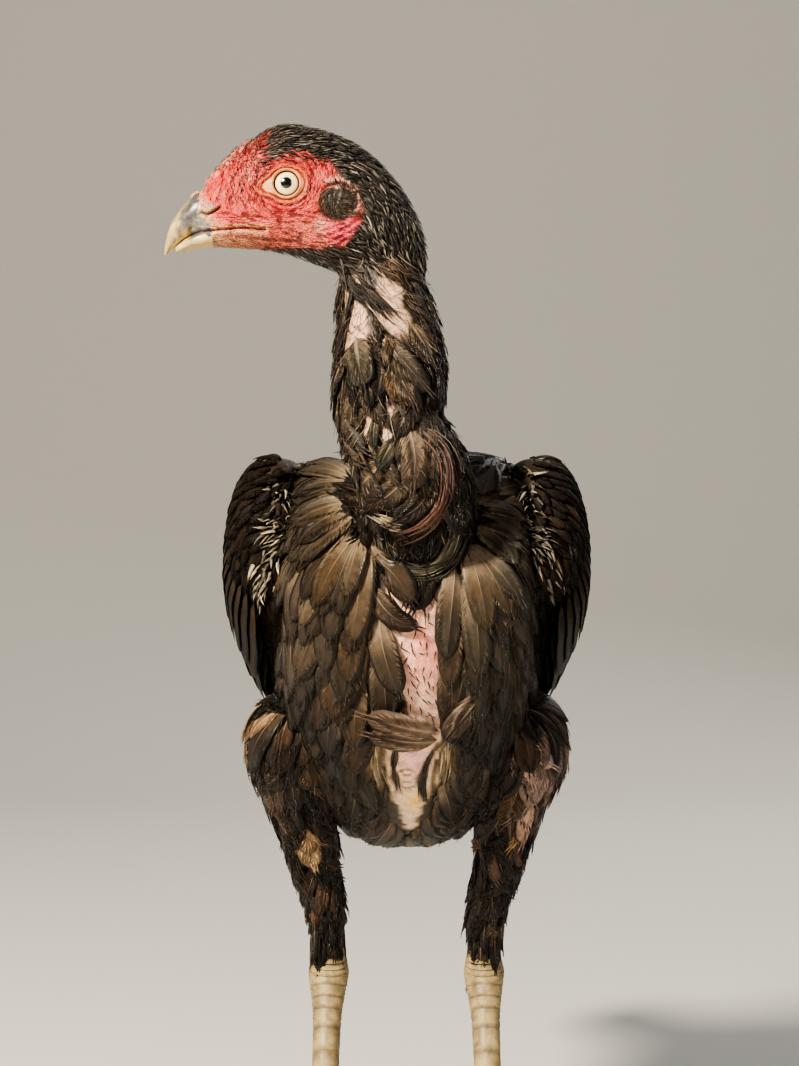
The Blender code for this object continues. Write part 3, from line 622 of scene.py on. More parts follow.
def round_eyes(points):
    off_middle = np.abs(points[:, 1] - HEAD_Y) > EYE_FROM_MIDDLE
    return off_middle & (np.hypot(points[:, 0] - EYE_X, points[:, 2] - EYE_Z) < EYE_FIELD)


# Face: points (x, z) on its side
MOUTH = (
    (-0.0850, 0.4064), (-0.0789, 0.4071), (-0.0715, 0.4076), (-0.0636, 0.4079), (-0.0555, 0.4071),
)
NOSTRIL = ((-0.0812, 0.4147), (-0.0783, 0.4135), (-0.0757, 0.4144), (-0.0732, 0.4160))
NOSTRIL_FLAP, FLAP_HALF = (-0.0778, 0.4161), (0.0036, 0.0018)
BROW = (
    (-0.0632, 0.4350), (-0.0551, 0.4367), (-0.0442, 0.4368), (-0.0344, 0.4351), (-0.0285, 0.4314),
)
EAR_TUFT, EAR_RADIUS = (-0.0268, 0.4175), 0.0068
EAR_LOBE, LOBE_HALF = (-0.0247, 0.4066), (0.0088, 0.0066)
BARE_FACE = (
    (-0.0940, 0.4170), (-0.0860, 0.4290), (-0.0760, 0.4440), (-0.0640, 0.4520), (-0.0562, 0.4486),
    (-0.0585, 0.4424), (-0.0587, 0.4366), (-0.0565, 0.4329), (-0.0533, 0.4347), (-0.0483, 0.4369),
    (-0.0425, 0.4375), (-0.0361, 0.4363), (-0.0304, 0.4338), (-0.0279, 0.4306), (-0.0263, 0.4269),
    (-0.0217, 0.4256), (-0.0185, 0.4215), (-0.0174, 0.4167), (-0.0174, 0.4118), (-0.0210, 0.4045),
    (-0.0243, 0.4006), (-0.0380, 0.4005), (-0.0514, 0.4010), (-0.0656, 0.4012), (-0.0766, 0.3994),
    (-0.0924, 0.3950),
)
# Pea comb: each row's distance from the middle, bulb radius and number of bulbs
COMB_ROWS = ((0.0, 0.0040, 5), (-0.0043, 0.0034, 3), (0.0043, 0.0034, 3))
COMB_FROM, COMB_TO = -0.0765, -0.0625
COMB_SUNK = 0.74
CERE = (-0.0828, 0.4210, 0.0030)
# Lids, in mm: how far they reach ahead of the eye's centre, behind it, above and below
LID_REACH = (6.0, 6.8, 5.6, 6.2)
LID_EDGE = 6.3
# They meet in a corner towards the bill
LID_CORNER = unit(np.array((-0.985, -0.17)))
CORNER_STRETCH, CORNER_POWER = 0.56, 14


def head_row(x):
    """Top, bottom and half width of the head at x."""
    table = refined(HEAD, 60)
    top, bottom, half = (np.interp(x, table[:, 0], table[:, k]) for k in (1, 2, 3))
    return STANDING_HEIGHT - top, STANDING_HEIGHT - bottom, half


def on_crown(x, offset):
    """A point of the top of the head, at an offset from its middle plane."""
    top, bottom, half = head_row(x)
    share = min(abs(offset) / half, 0.98)
    rise = (top - bottom) / 2 * (1 - share**HEAD_SQUARE) ** (1 / HEAD_SQUARE)
    return np.array((x, HEAD_Y + offset, (top + bottom) / 2 + rise))


def comb_bulbs():
    """Centre and radius of each bulb of the comb, and of the swelling where the bill begins."""
    bulbs = [(np.array((CERE[0], HEAD_Y, CERE[1])), CERE[2])]
    for offset, radius, count in COMB_ROWS:
        for k in range(count):
            share = k / (count - 1)
            size = radius * (0.8 + 0.3 * math.sin(math.pi * share))
            inset = 0.0022 if offset else 0.0
            first, last = COMB_FROM + inset, COMB_TO - inset
            centre = on_crown(first + (last - first) * share, offset)
            centre[2] -= size * COMB_SUNK
            bulbs.append((centre, size))
    return bulbs


def eye_rings(x, z):
    """Distance in mm from the eye's centre, and the same drawn out so that the lids end at LID_EDGE."""
    dx, dz = (x - EYE_X) / MM, (z - EYE_Z) / MM
    r = np.hypot(dx, dz)
    ahead, behind, above, below = LID_REACH
    lids = np.hypot(dx / np.where(dx > 0, behind, ahead), dz / np.where(dz > 0, above, below)) * LID_EDGE
    toward = (dx * LID_CORNER[0] + dz * LID_CORNER[1]) / np.maximum(r, 1e-6)
    return r, lids / (1 + CORNER_STRETCH * np.clip(toward, 0, 1) ** CORNER_POWER)


def fold_regions(dx, dz):
    """1 before the eye and 1 along the jaw, at offsets in mm from the eye."""
    return smooth(-8.5, -11.5, dx) * smooth(-10.0, -6.0, dz), smooth(-8.0, -12.0, dz)


def ear_distance(x, z):
    """Distance in mm from the middle of the ear's tuft."""
    return np.hypot(x - EAR_TUFT[0], z - EAR_TUFT[1]) / MM


def behind_ear(x, z):
    """How far behind the ear's middle places lie, as a share of its radius."""
    return (x - EAR_TUFT[0] + 0.6 * (z - EAR_TUFT[1])) / EAR_RADIUS


def face_streaks(points):
    """Noise from -1 to 1 along the folds: round the eye, upright before it, level on the jaw."""
    x, y, z = points.T
    dx, dz = (x - EYE_X) / MM, (z - EYE_Z) / MM
    r = np.hypot(dx, dz)
    side = np.sign(y - HEAD_Y) * 40
    ringed = lumps(np.stack([np.arctan2(dz, dx) * 4.5, r / 0.80, side], -1), 1.0, 81)
    level = lumps(np.stack([dx / 2.7, (dz + 0.18 * dx) / 0.75, side], -1), 1.0, 82)
    upright = lumps(np.stack([(dx - 0.25 * dz) / 0.80, dz / 2.6, side], -1), 1.0, 83)
    before, low = fold_regions(dx, dz)
    streak = ringed * (1 - before) + upright * before
    return streak * (1 - low) + level * low


def face_relief(points, normals):
    """How far each point of the head moves out, in mm, for folds, lids, comb and openings."""
    x, y, z = points.T
    side = np.clip((np.abs(y - HEAD_Y) - 0.002) / 0.006, 0, 1)
    r, q = eye_rings(x, z)
    lids = 0.7 * hump(r, 5.5, 0.50) + 0.25 * smooth(4.9, 5.2, r) * (1 - smooth(5.9, 6.5, q))
    lids -= 0.40 * hump(q, 6.7, 0.32)
    lids += 0.60 * hump(q, 7.7, 0.65) - 0.30 * hump(q, 9.0, 0.50) + 0.25 * hump(q, 10.2, 0.8)
    lids *= smooth(4.6, 5.1, r)
    lids -= 4.4 * (1 - smooth(4.70, 5.20, r))
    near, share = path_distance(x, z, BROW)
    brow = 1.2 * hump(near / MM, 0, 2.6) * np.sin(math.pi * np.clip(share, 0.05, 0.95)) ** 0.5
    near, _ = path_distance(x, z, NOSTRIL)
    nostril = -1.5 * hump(near / MM, 0, 0.50)
    off_flap = oval_distance(x, z, NOSTRIL_FLAP, FLAP_HALF)
    flap = 1.0 * (1 - smooth(0.5, 1.15, off_flap))
    near, _ = path_distance(x, z, MOUTH)
    mouth = -1.3 * hump(near / MM, 0, 0.55) + 0.35 * hump(near / MM, 1.6, 0.7)
    ear = ear_distance(x, z)
    behind = smooth(-0.6, 0.5, behind_ear(x, z))
    tuft = 1.3 * (1 - smooth(3.0, 6.6, ear)) - 0.6 * hump(ear, 6.9, 0.5) + 1.1 * behind * hump(ear, 8.2, 0.9)
    lobe = oval_distance(x, z, EAR_LOBE, LOBE_HALF)
    lobe = 2.2 * (1 - smooth(0.45, 1.1, lobe)) * (1 - smooth(0.0, 0.5, -(ear - 6.6)))
    slant = ((x - EAR_LOBE[0]) * 0.5 - (z - EAR_LOBE[1])) / MM
    lobe += 0.22 * np.sin(slant * 2.6 + 1.2 * lumps(points, 0.004, 5)) * (lobe > 0.3)
    cheek = inside_outline(x, z, BARE_FACE, 0.001) * smooth(8.0, 10.0, q)
    folds = -0.42 * smooth(0.05, 0.65, face_streaks(points)) * cheek
    grain = 0.10 * lumps(points, 0.0013, 3) + 0.12 * lumps(points, 0.0028, 4)
    moved = side * (lids + brow + nostril + flap + mouth + tuft + lobe + folds)
    moved += grain * cheek
    raised = np.zeros(len(points))
    for centre, radius in comb_bulbs():
        offset = points - centre
        along = np.einsum("ij,ij->i", offset, normals)
        gap = radius**2 - (np.einsum("ij,ij->i", offset, offset) - along**2)
        hit = np.sqrt(np.maximum(gap, 0)) - along
        raised = np.where((gap > 0) & (hit > 0) & (hit < 0.004), np.maximum(raised, hit / MM * 0.9), raised)
    return moved + raised


# Bare skin of the body, seen from the front: the strip down the breast bone as a path (x, z)
# with its half widths, the belly as an outline
KEEL = ((0.0010, 0.2790), (0.0060, 0.2480), (0.0065, 0.2150))
KEEL_HALF = (0.0112, 0.0098, 0.0104)
KEEL_HALF_AT = (0.0, 0.45, 1.0)
BELLY_BELOW_Z, BELLY_TO_Y = 0.235, 0.06
# The belly's rings of wrinkles: their middle's height, and how close they lie
NAVEL_Z, NAVEL_CLOSE = 0.1903, 2.6
BARE_BELLY = (
    (-0.0130, 0.2100), (0.0170, 0.2100), (0.0158, 0.1970), (0.0118, 0.1870), (0.0068, 0.1770),
    (0.0034, 0.1650), (0.0000, 0.1650), (-0.0046, 0.1790), (-0.0092, 0.1880), (-0.0128, 0.1980),
)
# Creases of the bare belly, seen from the front
BELLY_FOLDS = (
    ((-0.0040, 0.2060), (-0.0056, 0.1980), (-0.0054, 0.1900), (-0.0030, 0.1840)),
    ((0.0125, 0.2050), (0.0080, 0.1970), (0.0062, 0.1890), (0.0068, 0.1800)),
    ((-0.0100, 0.2050), (-0.0096, 0.1950), (-0.0080, 0.1860)),
    ((0.0120, 0.1980), (0.0108, 0.1900), (0.0098, 0.1830)),
)
# Ragged patches, bare or tan: centre (x, z), half width and half height
BARE_NECK = (
    (-0.0205, 0.3690, 0.0062, 0.0105),
    (-0.0215, 0.3800, 0.0040, 0.0100),
    (-0.0070, 0.3800, 0.0062, 0.0130),
    (-0.0030, 0.3700, 0.0054, 0.0075),
    (-0.0162, 0.3310, 0.0052, 0.0095),
    (-0.0073, 0.3308, 0.0040, 0.0070),
    (-0.0013, 0.3270, 0.0028, 0.0028),
)
BARE_THIGH = (
    (0.0480, 0.1960, 0.0075, 0.0080),
    (0.0560, 0.1880, 0.0060, 0.0110),
    (0.0500, 0.1740, 0.0060, 0.0120),
)
TAN_THIGH = (
    (-0.0630, 0.2060, 0.0060, 0.0120),
    (-0.0420, 0.2010, 0.0070, 0.0060),
    (-0.0345, 0.1880, 0.0040, 0.0080),
    (-0.0410, 0.1570, 0.0040, 0.0080),
    (0.0470, 0.1640, 0.0040, 0.0080),
)
# The fold of skin and draped feathers at the foot of the neck, and the groove above it
NECK_RING = (
    (-0.0116, 0.2925), (-0.0086, 0.2805), (0.0003, 0.2738), (0.0108, 0.2752), (0.0173, 0.2844),
    (0.0190, 0.2978),
)
RING_GROOVE = (
    (-0.0090, 0.2890), (-0.0009, 0.2850), (0.0067, 0.2871), (0.0124, 0.2939), (0.0140, 0.3020),
)


def keel_bareness(points):
    """1 on the bare strip down the breast bone and on the bare belly."""
    x, y, z = points.T
    near, share = path_distance(x, z, KEEL)
    half = np.interp(share, KEEL_HALF_AT, KEEL_HALF)
    ragged = 1 + 0.30 * lumps(points, 0.006, 21) + 0.18 * lumps(points, 0.0025, 23)
    strip = 1 - smooth(0.85, 1.1, near / (half * ragged))
    shift = 0.0016 * lumps(points, 0.0035, 24)
    belly = inside_outline(x + shift, z, BARE_BELLY, 0.0010)
    return np.maximum(strip, belly) * (y < np.where(z < BELLY_BELOW_Z, BELLY_TO_Y, 0.0))


def patch_bareness(points, patches):
    """1 in ragged patches on the front of the neck or of a thigh."""
    x, y, z = points.T
    centres = np.array(NECK)
    in_front = y < np.where(z > 0.26, np.interp(z, centres[:, 2], centres[:, 1]) - 0.003, 0.03)
    ragged = 1 + 0.3 * lumps(points, 0.004, 22)
    bare = np.zeros(len(points))
    for patch in patches:
        bare = np.maximum(bare, 1 - smooth(0.8, 1.1, oval_distance(x, z, patch[:2], patch[2:]) / ragged))
    return bare * in_front


# Colours, as light is reflected
RED, DEEP_RED, PINK = (0.53, 0.020, 0.020), (0.10, 0.007, 0.008), (0.78, 0.30, 0.22)
CREAM, LID, FOLD = (0.78, 0.56, 0.32), (0.66, 0.33, 0.16), (0.50, 0.15, 0.06)
# The last of these is painted shade: dark skin under the coat that stands in for the feathers' shadow in
# their gaps.
BARE_PINK, BARE_PALE, UNDERCOAT_SHADE = (0.74, 0.35, 0.28), (0.78, 0.56, 0.43), (0.048, 0.031, 0.020)


def horn_border(points):
    """Distance behind the line where the horn of the bill begins, less than 0 on the horn."""
    return (points[:, 0] + 0.0770) * 0.749 + np.maximum(points[:, 2] - 0.4093, 0.0) * 0.663


def face_colours(points):
    """The face's colours by place: streaked red, cream at the bill, peach lids and a pink lobe."""
    x, _, z = points.T
    r, q = eye_rings(x, z)
    mottle = lumps(points, 0.0035, 31) * 0.5 + lumps(points, 0.0012, 32) * 0.5
    streak = face_streaks(points)
    low = smooth(0.4125, 0.4060, z)
    # Pinker at random, lower down, and along the ridges between the folds; along the ridges this is partly
    # the skin's own pale bumps and partly painted highlight.
    pinker = 0.04 + 0.14 * mottle + 0.26 * low + 0.26 * smooth(0.0, -0.7, streak)
    tint = mixed(RED, PINK, np.clip(pinker, 0, 1))
    comb = smooth(0.0045, 0.0, np.abs(z - head_row(x)[0])) * (x < -0.058)
    tint = mixed(tint, (0.72, 0.33, 0.22), 0.55 * comb)
    # Painted shade: the folds' grooves, sunk in the relief, are darkened to deep red, browner low on the
    # face.
    groove = smooth(0.10, 0.70, streak)
    tint = mixed(tint, mixed(DEEP_RED, (0.10, 0.04, 0.03), low), 0.74 * groove)
    bill = smooth(-0.0725, -0.0815, x + 0.5 * (z - 0.4130) + 0.0012 * mottle)
    tint = mixed(tint, CREAM, 0.80 * bill)
    jaw = smooth(0.4085, 0.4030, z) * smooth(-0.050, -0.066, x)
    tint = mixed(tint, (0.66, 0.36, 0.20), 0.65 * jaw)
    around = smooth(11.0, 8.0, q)
    tint = mixed(tint, RED, 0.35 * around)
    tint = mixed(tint, FOLD, 0.75 * hump(q, 7.5, 0.7))
    # Painted shade: dark lines in the lids' two creases, where the relief dips.
    tint = mixed(tint, (0.20, 0.03, 0.015), 0.85 * hump(q, 6.65, 0.28) + 0.5 * hump(q, 9.0, 0.4))
    tint = mixed(tint, LID, (1 - smooth(6.0, 6.5, q)))
    tint = mixed(tint, (0.30, 0.12, 0.06), 0.8 * (1 - smooth(4.85, 5.05, r)))
    ear = ear_distance(x, z)
    behind = smooth(-0.4, 0.5, behind_ear(x, z))
    tint = mixed(tint, (0.74, 0.42, 0.32), 0.75 * behind * smooth(11.0, 8.0, ear) * smooth(0.410, 0.414, z))
    under = hump(np.hypot(x + 0.0329, z - 0.4083) / 0.003, 0, 1)
    tint = mixed(tint, (0.80, 0.52, 0.38), 0.6 * under)
    lobe = oval_distance(x, z, EAR_LOBE, LOBE_HALF)
    # Painted shade in the lobe's folds as well.
    pink = mixed((0.70, 0.085, 0.12), (0.30, 0.015, 0.03), 0.75 * groove)
    tint = mixed(tint, pink, 0.85 * (1 - smooth(0.7, 1.2, lobe)))
    tint = mixed(tint, (0.06, 0.045, 0.03), 1 - smooth(5.4, 6.6, ear + 1.3 * lumps(points, 0.0016, 48)))
    off_flap = oval_distance(x, z, NOSTRIL_FLAP, FLAP_HALF)
    tint = mixed(tint, (0.40, 0.30, 0.22), 0.8 * (1 - smooth(0.7, 1.1, off_flap)))
    horn = smooth(0.0006, -0.0006, horn_border(points) + 0.0006 * mottle)
    grey = mixed((0.085, 0.09, 0.10), (0.40, 0.33, 0.23), np.clip(0.32 + 0.9 * mottle, 0, 1))
    tint = mixed(tint, grey, horn)
    near, _ = path_distance(x, z, MOUTH)
    tint = mixed(tint, (0.78, 0.42, 0.18), 0.6 * hump(near / MM, 1.1, 0.5) * (x > -0.077))
    # Painted shade: the mouth's slit is darkened along its groove.
    tint = mixed(tint, (0.10, 0.02, 0.015), 0.85 * hump(near / MM, 0, 0.45))
    # Painted shade: the nostril's slit is darkened along its groove.
    near, _ = path_distance(x, z, NOSTRIL)
    return mixed(tint, (0.05, 0.02, 0.015), 0.9 * hump(near / MM, 0, 0.6))


def skin_colours(points):
    """Painted shade where the coat hides the skin, so that the gaps between feathers read as their shadow;
    pink where it is bare.
    """
    x, y, z = points.T
    tint = np.broadcast_to(np.array(UNDERCOAT_SHADE), (len(points), 3)).copy()
    mottle = 0.5 + 0.5 * lumps(points, 0.009, 41)
    fine = 0.5 + 0.5 * lumps(points, 0.002, 42)
    bare = keel_bareness(points)
    keel = mixed(BARE_PINK, BARE_PALE, np.clip(0.35 + 0.65 * mottle, 0, 1))
    redder = hump(oval_distance(x, z, (0.006, 0.243), (0.007, 0.016)), 0, 1)
    blotch = 0.55 + 0.45 * lumps(points, 0.0035, 46)
    keel = mixed(keel, (0.74, 0.17, 0.14), 0.9 * redder * blotch)
    lines = smooth(0.45, 0.75, lumps(np.stack([x - 0.25 * z, y, z * 0.22], -1), 0.0011, 47))
    keel = mixed(keel, (0.30, 0.12, 0.09), 0.55 * lines)
    centre = hump(oval_distance(x, z, (0.0030, 0.2010), (0.0055, 0.0095)), 0, 1)
    belly = mixed((0.74, 0.55, 0.36), (0.80, 0.46, 0.42), np.clip(centre + 0.25 * mottle, 0, 1))
    keel = mixed(keel, belly, smooth(0.212, 0.204, z))
    yellow = hump(oval_distance(x, z, (0.0033, 0.1793), (0.0026, 0.0042)), 0, 1)
    keel = mixed(keel, (0.80, 0.52, 0.12), 0.9 * yellow)
    crease = np.zeros(len(x))
    for path in BELLY_FOLDS:
        near, _ = path_distance(x, z, path)
        crease = np.maximum(crease, hump(near / MM, 0, 1.1))
    rings = np.hypot(x, z - NAVEL_Z) / MM
    ringed = smooth(0.2, 0.9, -np.sin(rings * NAVEL_CLOSE)) * smooth(7.0, 4.0, rings) * 0.7
    crease = np.maximum(crease, ringed)
    patchy = smooth(0.15, 0.6, lumps(points * (1, 1, 0.45), 0.0028, 43)) * smooth(0.205, 0.198, z)
    patchy = patchy * np.abs(x - 0.002) / 0.012
    keel = mixed(keel, (0.09, 0.05, 0.03), np.clip(0.85 * crease + 0.8 * patchy, 0, 1) * (z < 0.208))
    tint = mixed(tint, keel, bare)
    pale = mixed((0.62, 0.44, 0.30), (0.60, 0.29, 0.22), 0.45 * fine)
    hairy = lumps(np.stack([x + 0.3 * z, y, z * 0.2], -1), 0.0010, 50)
    pale = mixed(pale, (0.16, 0.09, 0.06), 0.6 * smooth(0.25, 0.7, hairy))
    tint = mixed(tint, pale, patch_bareness(points, BARE_NECK))
    tint = mixed(tint, pale, patch_bareness(points, BARE_THIGH))
    ragged = np.stack([lumps(points, 0.0022, 44), lumps(points, 0.0022, 45)]) * 0.0010
    under_crown = 0.0045 * smooth(0.4290, 0.4330, z) * smooth(-0.044, -0.052, x)
    face = inside_outline(x + ragged[0] - under_crown, z + ragged[1], BARE_FACE, 0.0010) * (z > 0.390)
    return mixed(tint, face_colours(points), face)


def body_relief(points):
    """The breast bone's low ridge, the wrinkles of bare skin and the fold under the neck, in mm."""
    x, y, z = points.T
    bare = keel_bareness(points)
    ridge = 1.2 * hump((x - 0.004) / 0.006, 0, 1) * smooth(0.16, 0.20, z) * smooth(0.280, 0.262, z)
    wrinkle = 0.35 * lumps(points * (1, 1, 2.2), 0.005, 51) + 0.2 * lumps(points, 0.0022, 52)
    rings = np.hypot(x, z - NAVEL_Z) / MM
    navel = 0.40 * np.sin(rings * NAVEL_CLOSE) * smooth(7.5, 4.0, rings)
    for path in BELLY_FOLDS:
        near, _ = path_distance(x, z, path)
        navel -= 1.5 * hump(near / MM, 0, 0.9) - 0.6 * hump(near / MM, 2.2, 1.0)
    near, _ = path_distance(x, z, NECK_RING)
    fold = 2.4 * hump(near / MM, 0, 3.2)
    near, _ = path_distance(x, z, RING_GROOVE)
    fold -= 2.0 * hump(near / MM, 0, 1.8)
    return (ridge + fold) * (y < 0.0) + bare * (wrinkle + navel)


def build_skin(forms):
    surface = Surface(as_one_surface(forms, SKIN_VOXEL))
    surface.relax(8)
    surface.write()
    surface.refine(on_head, 3, 6)
    surface.refine(round_eyes, 1, 3)
    surface.freeze()
    surface.measure(2)
    moved = body_relief(surface.points)
    head = on_head(surface.points)
    moved[head] += face_relief(surface.points[head], surface.normals[head])
    surface.points += surface.normals * moved[:, None] * MM
    surface.measure(6)
    surface.plant()
    return surface


def label_points(forms, points):
    """The name of the form of flesh that lies nearest to each point."""
    names, places = [], []
    for name, rings in forms:
        flat = np.asarray(rings).reshape(-1, 3)
        places.append(flat)
        names += [name] * len(flat)
    tree = KDTree(len(names))
    for k, place in enumerate(np.vstack(places)):
        tree.insert(place, k)
    tree.balance()
    return np.array([names[tree.find(point)[1]] for point in points])


# Looks


def new_look(name):
    look = bpy.data.materials.new(name)
    look.use_nodes = True
    return look, look.node_tree, look.node_tree.nodes["Principled BSDF"]


def node(tree, kind, **settings):
    made = tree.nodes.new(kind)
    for key, value in settings.items():
        if key in made.inputs:
            made.inputs[key].default_value = value
        else:
            setattr(made, key, value)
    return made


def math_node(tree, operation, one, two=None, clamp=False):
    made = tree.nodes.new("ShaderNodeMath")
    made.operation, made.use_clamp = operation, clamp
    for socket, value in zip(made.inputs, (one, two)):
        if value is None:
            continue
        if isinstance(value, (int, float)):
            socket.default_value = value
        else:
            tree.links.new(value, socket)
    return made.outputs[0]


def span_node(tree, value, low, high, to_low=0.0, to_high=1.0):
    made = tree.nodes.new("ShaderNodeMapRange")
    made.interpolation_type = "SMOOTHSTEP"
    tree.links.new(value, made.inputs["Value"])
    for name, number in (("From Min", low), ("From Max", high), ("To Min", to_low), ("To Max", to_high)):
        made.inputs[name].default_value = number
    return made.outputs["Result"]


def noise_node(tree, scale, detail=2.0, vector=None):
    made = node(tree, "ShaderNodeTexNoise", Scale=scale, Detail=detail)
    if vector is None:
        vector = tree.nodes.new("ShaderNodeTexCoord").outputs["Object"]
    tree.links.new(vector, made.inputs["Vector"])
    return made.outputs["Fac"]


def scaled_colour(tree, colour, factor):
    """A colour made lighter or darker by a factor."""
    made = tree.nodes.new("ShaderNodeVectorMath")
    made.operation = "SCALE"
    tree.links.new(colour, made.inputs[0])
    tree.links.new(factor, made.inputs["Scale"])
    return made.outputs[0]


def colour_mix(tree, one, two, factor):
    made = node(tree, "ShaderNodeMix", data_type="RGBA")
    for socket, value in ((made.inputs[0], factor), (made.inputs[6], one), (made.inputs[7], two)):
        if isinstance(value, (int, float)):
            socket.default_value = value
        elif isinstance(value, tuple):
            socket.default_value = (*value, 1.0)
        else:
            tree.links.new(value, socket)
    return made.outputs[2]


def add_bump(tree, shader, height, distance, strength=1.0):
    bump = node(tree, "ShaderNodeBump", Strength=strength, Distance=distance)
    tree.links.new(height, bump.inputs["Height"])
    tree.links.new(bump.outputs["Normal"], shader.inputs["Normal"])


def set_inputs(made, **values):
    """Sets a node's inputs, named with _ for each space."""
    for name, value in values.items():
        made.inputs[name.replace("_", " ")].default_value = value


def tint_node(tree):
    """The colour that a mesh carries at each point."""
    return node(tree, "ShaderNodeAttribute", attribute_name="tint").outputs["Color"]


def vane_node(tree):
    """The three numbers that a mesh carries at each point for its look."""
    vane = node(tree, "ShaderNodeAttribute", attribute_name="vane").outputs["Vector"]
    split = tree.nodes.new("ShaderNodeSeparateXYZ")
    tree.links.new(vane, split.inputs[0])
    return split.outputs


def mottled_look(name, coarse, fine, coarse_tone, fine_tone, rough, bump):
    """A look whose colour, from the mesh, gets lighter and darker with coarse and fine noise.

    Each noise has a scale and a detail, and each tone, like the roughness, a low and a high value.
    """
    look, tree, shader = new_look(name)
    cloud, grain = noise_node(tree, *coarse), noise_node(tree, *fine)
    wide = span_node(tree, cloud, 0.3, 0.7, *coarse_tone)
    close = span_node(tree, grain, 0.3, 0.7, *fine_tone)
    tone = math_node(tree, "MULTIPLY", wide, close)
    tree.links.new(scaled_colour(tree, tint_node(tree), tone), shader.inputs["Base Color"])
    tree.links.new(span_node(tree, cloud, 0.3, 0.7, *rough), shader.inputs["Roughness"])
    add_bump(tree, shader, grain, *bump)
    return look, shader


def skin_look():
    look, shader = mottled_look(
        "skin", (260.0, 3.0), (1400.0, 3.0), (0.85, 1.12), (0.82, 1.15), (0.42, 0.62), (0.0003, 0.7)
    )
    set_inputs(shader, Subsurface_Weight=0.12, Subsurface_Scale=0.0012)
    set_inputs(shader, Subsurface_Radius=(0.9, 0.3, 0.2))
    return look


# Feathers: closed blades over the skin, gathered into joined meshes


class Coat:
    """Blades gathered for one joined mesh."""

    def __init__(self):
        self.points, self.faces, self.tints, self.vanes, self.uv = [], [], [], [], []
        self.total = 0

    def add(self, points, faces, tints, vanes, uv):
        """Adds forms of one make: arrays of form, point and value, and the faces of one form."""
        count, size = points.shape[:2]
        starts = self.total + np.arange(count) * size
        self.points.append(points.reshape(-1, 3))
        self.faces.append((faces[None] + starts[:, None, None]).reshape(-1, 3))
        self.tints.append(np.broadcast_to(tints, points.shape).reshape(-1, 3))
        self.vanes.append(vanes.reshape(-1, 3))
        self.uv.append(uv.reshape(-1, 2))
        self.total += count * size

    def build(self, name, look, slot, *nodes):
        faces = np.vstack(self.faces)
        arrays = [np.vstack(part) for part in (self.points, self.tints, self.vanes, self.uv)]
        points, tints, vanes, uv = arrays
        return piece(mesh_object(name, points, faces, look, tints, vanes, uv), slot, *nodes)


# Columns of a blade's top: share of the half width, and a further offset in metres
RIBBED = ((-1, 0), (-0.55, 0), (0, -0.00028), (0, 0), (0, 0.00028), (0.55, 0), (1, 0))
PLAIN = ((-1, 0), (-0.5, 0), (0, 0), (0.5, 0), (1, 0))
SLIGHT = ((-1, 0), (0, 0), (1, 0))
RIB_HEIGHT = 0.00030
# Size of one feather's patch on the unwrap
TUFT_PATCH = 0.003
PALE_ROOT = (0.30, 0.22, 0.15)


def blade_frame(lines, normals, roll):
    """The ways ahead, to the side and up along centre lines, rolled about them."""
    ahead = unit(np.gradient(lines, axis=1))
    side = unit(np.cross(ahead, normals))
    up = np.cross(side, ahead)
    roll = np.broadcast_to(roll, len(lines))[:, None, None]
    return ahead, side * np.cos(roll) + up * np.sin(roll), up * np.cos(roll) - side * np.sin(roll)


def blade_faces(rows, columns):
    """Triangles of a closed blade: its top, one line of points beneath, and a point at each end."""
    stride = columns + 1
    faces = []
    ring = list(range(columns)) + [columns]
    for r in range(rows - 1):
        near, far = r * stride, (r + 1) * stride
        for one, two in zip(ring, ring[1:] + ring[:1]):
            faces += [(near + one, near + two, far + two), (near + one, far + two, far + one)]
    root, tip, last = rows * stride, rows * stride + 1, (rows - 1) * stride
    for one, two in zip(ring, ring[1:] + ring[:1]):
        faces += [(root, two, one), (tip, last + one, last + two)]
    return np.array(faces)


def shares(rows, gather=1.0):
    """Even steps from root to tip, or closer together at the tip."""
    return 1 - (1 - np.linspace(0, 1, rows)) ** gather


def broad(t):
    """Outline of a body feather: a rounded tip and a narrower root."""
    rise = 0.35 + 0.65 * np.clip(t / 0.40, 0, 1) ** 0.8
    return rise * (1 - np.clip((t - 0.45) / 0.56, 0, 1) ** 2.5) ** 0.65


def lance(t):
    """Outline of a hackle: widest near the root, drawn out to a point."""
    return (0.45 + 0.55 * np.clip(t / 0.3, 0, 1)) * (1 - np.clip((t - 0.25) / 0.76, 0, 1) ** 1.5) ** 0.85


def quill(t):
    """Outline of a flight feather: even, with a blunt tip."""
    return np.clip(0.5 + t / 0.16, 0, 1) * (1 - np.clip((t - 0.72) / 0.285, 0, 1) ** 2.2) ** 0.6


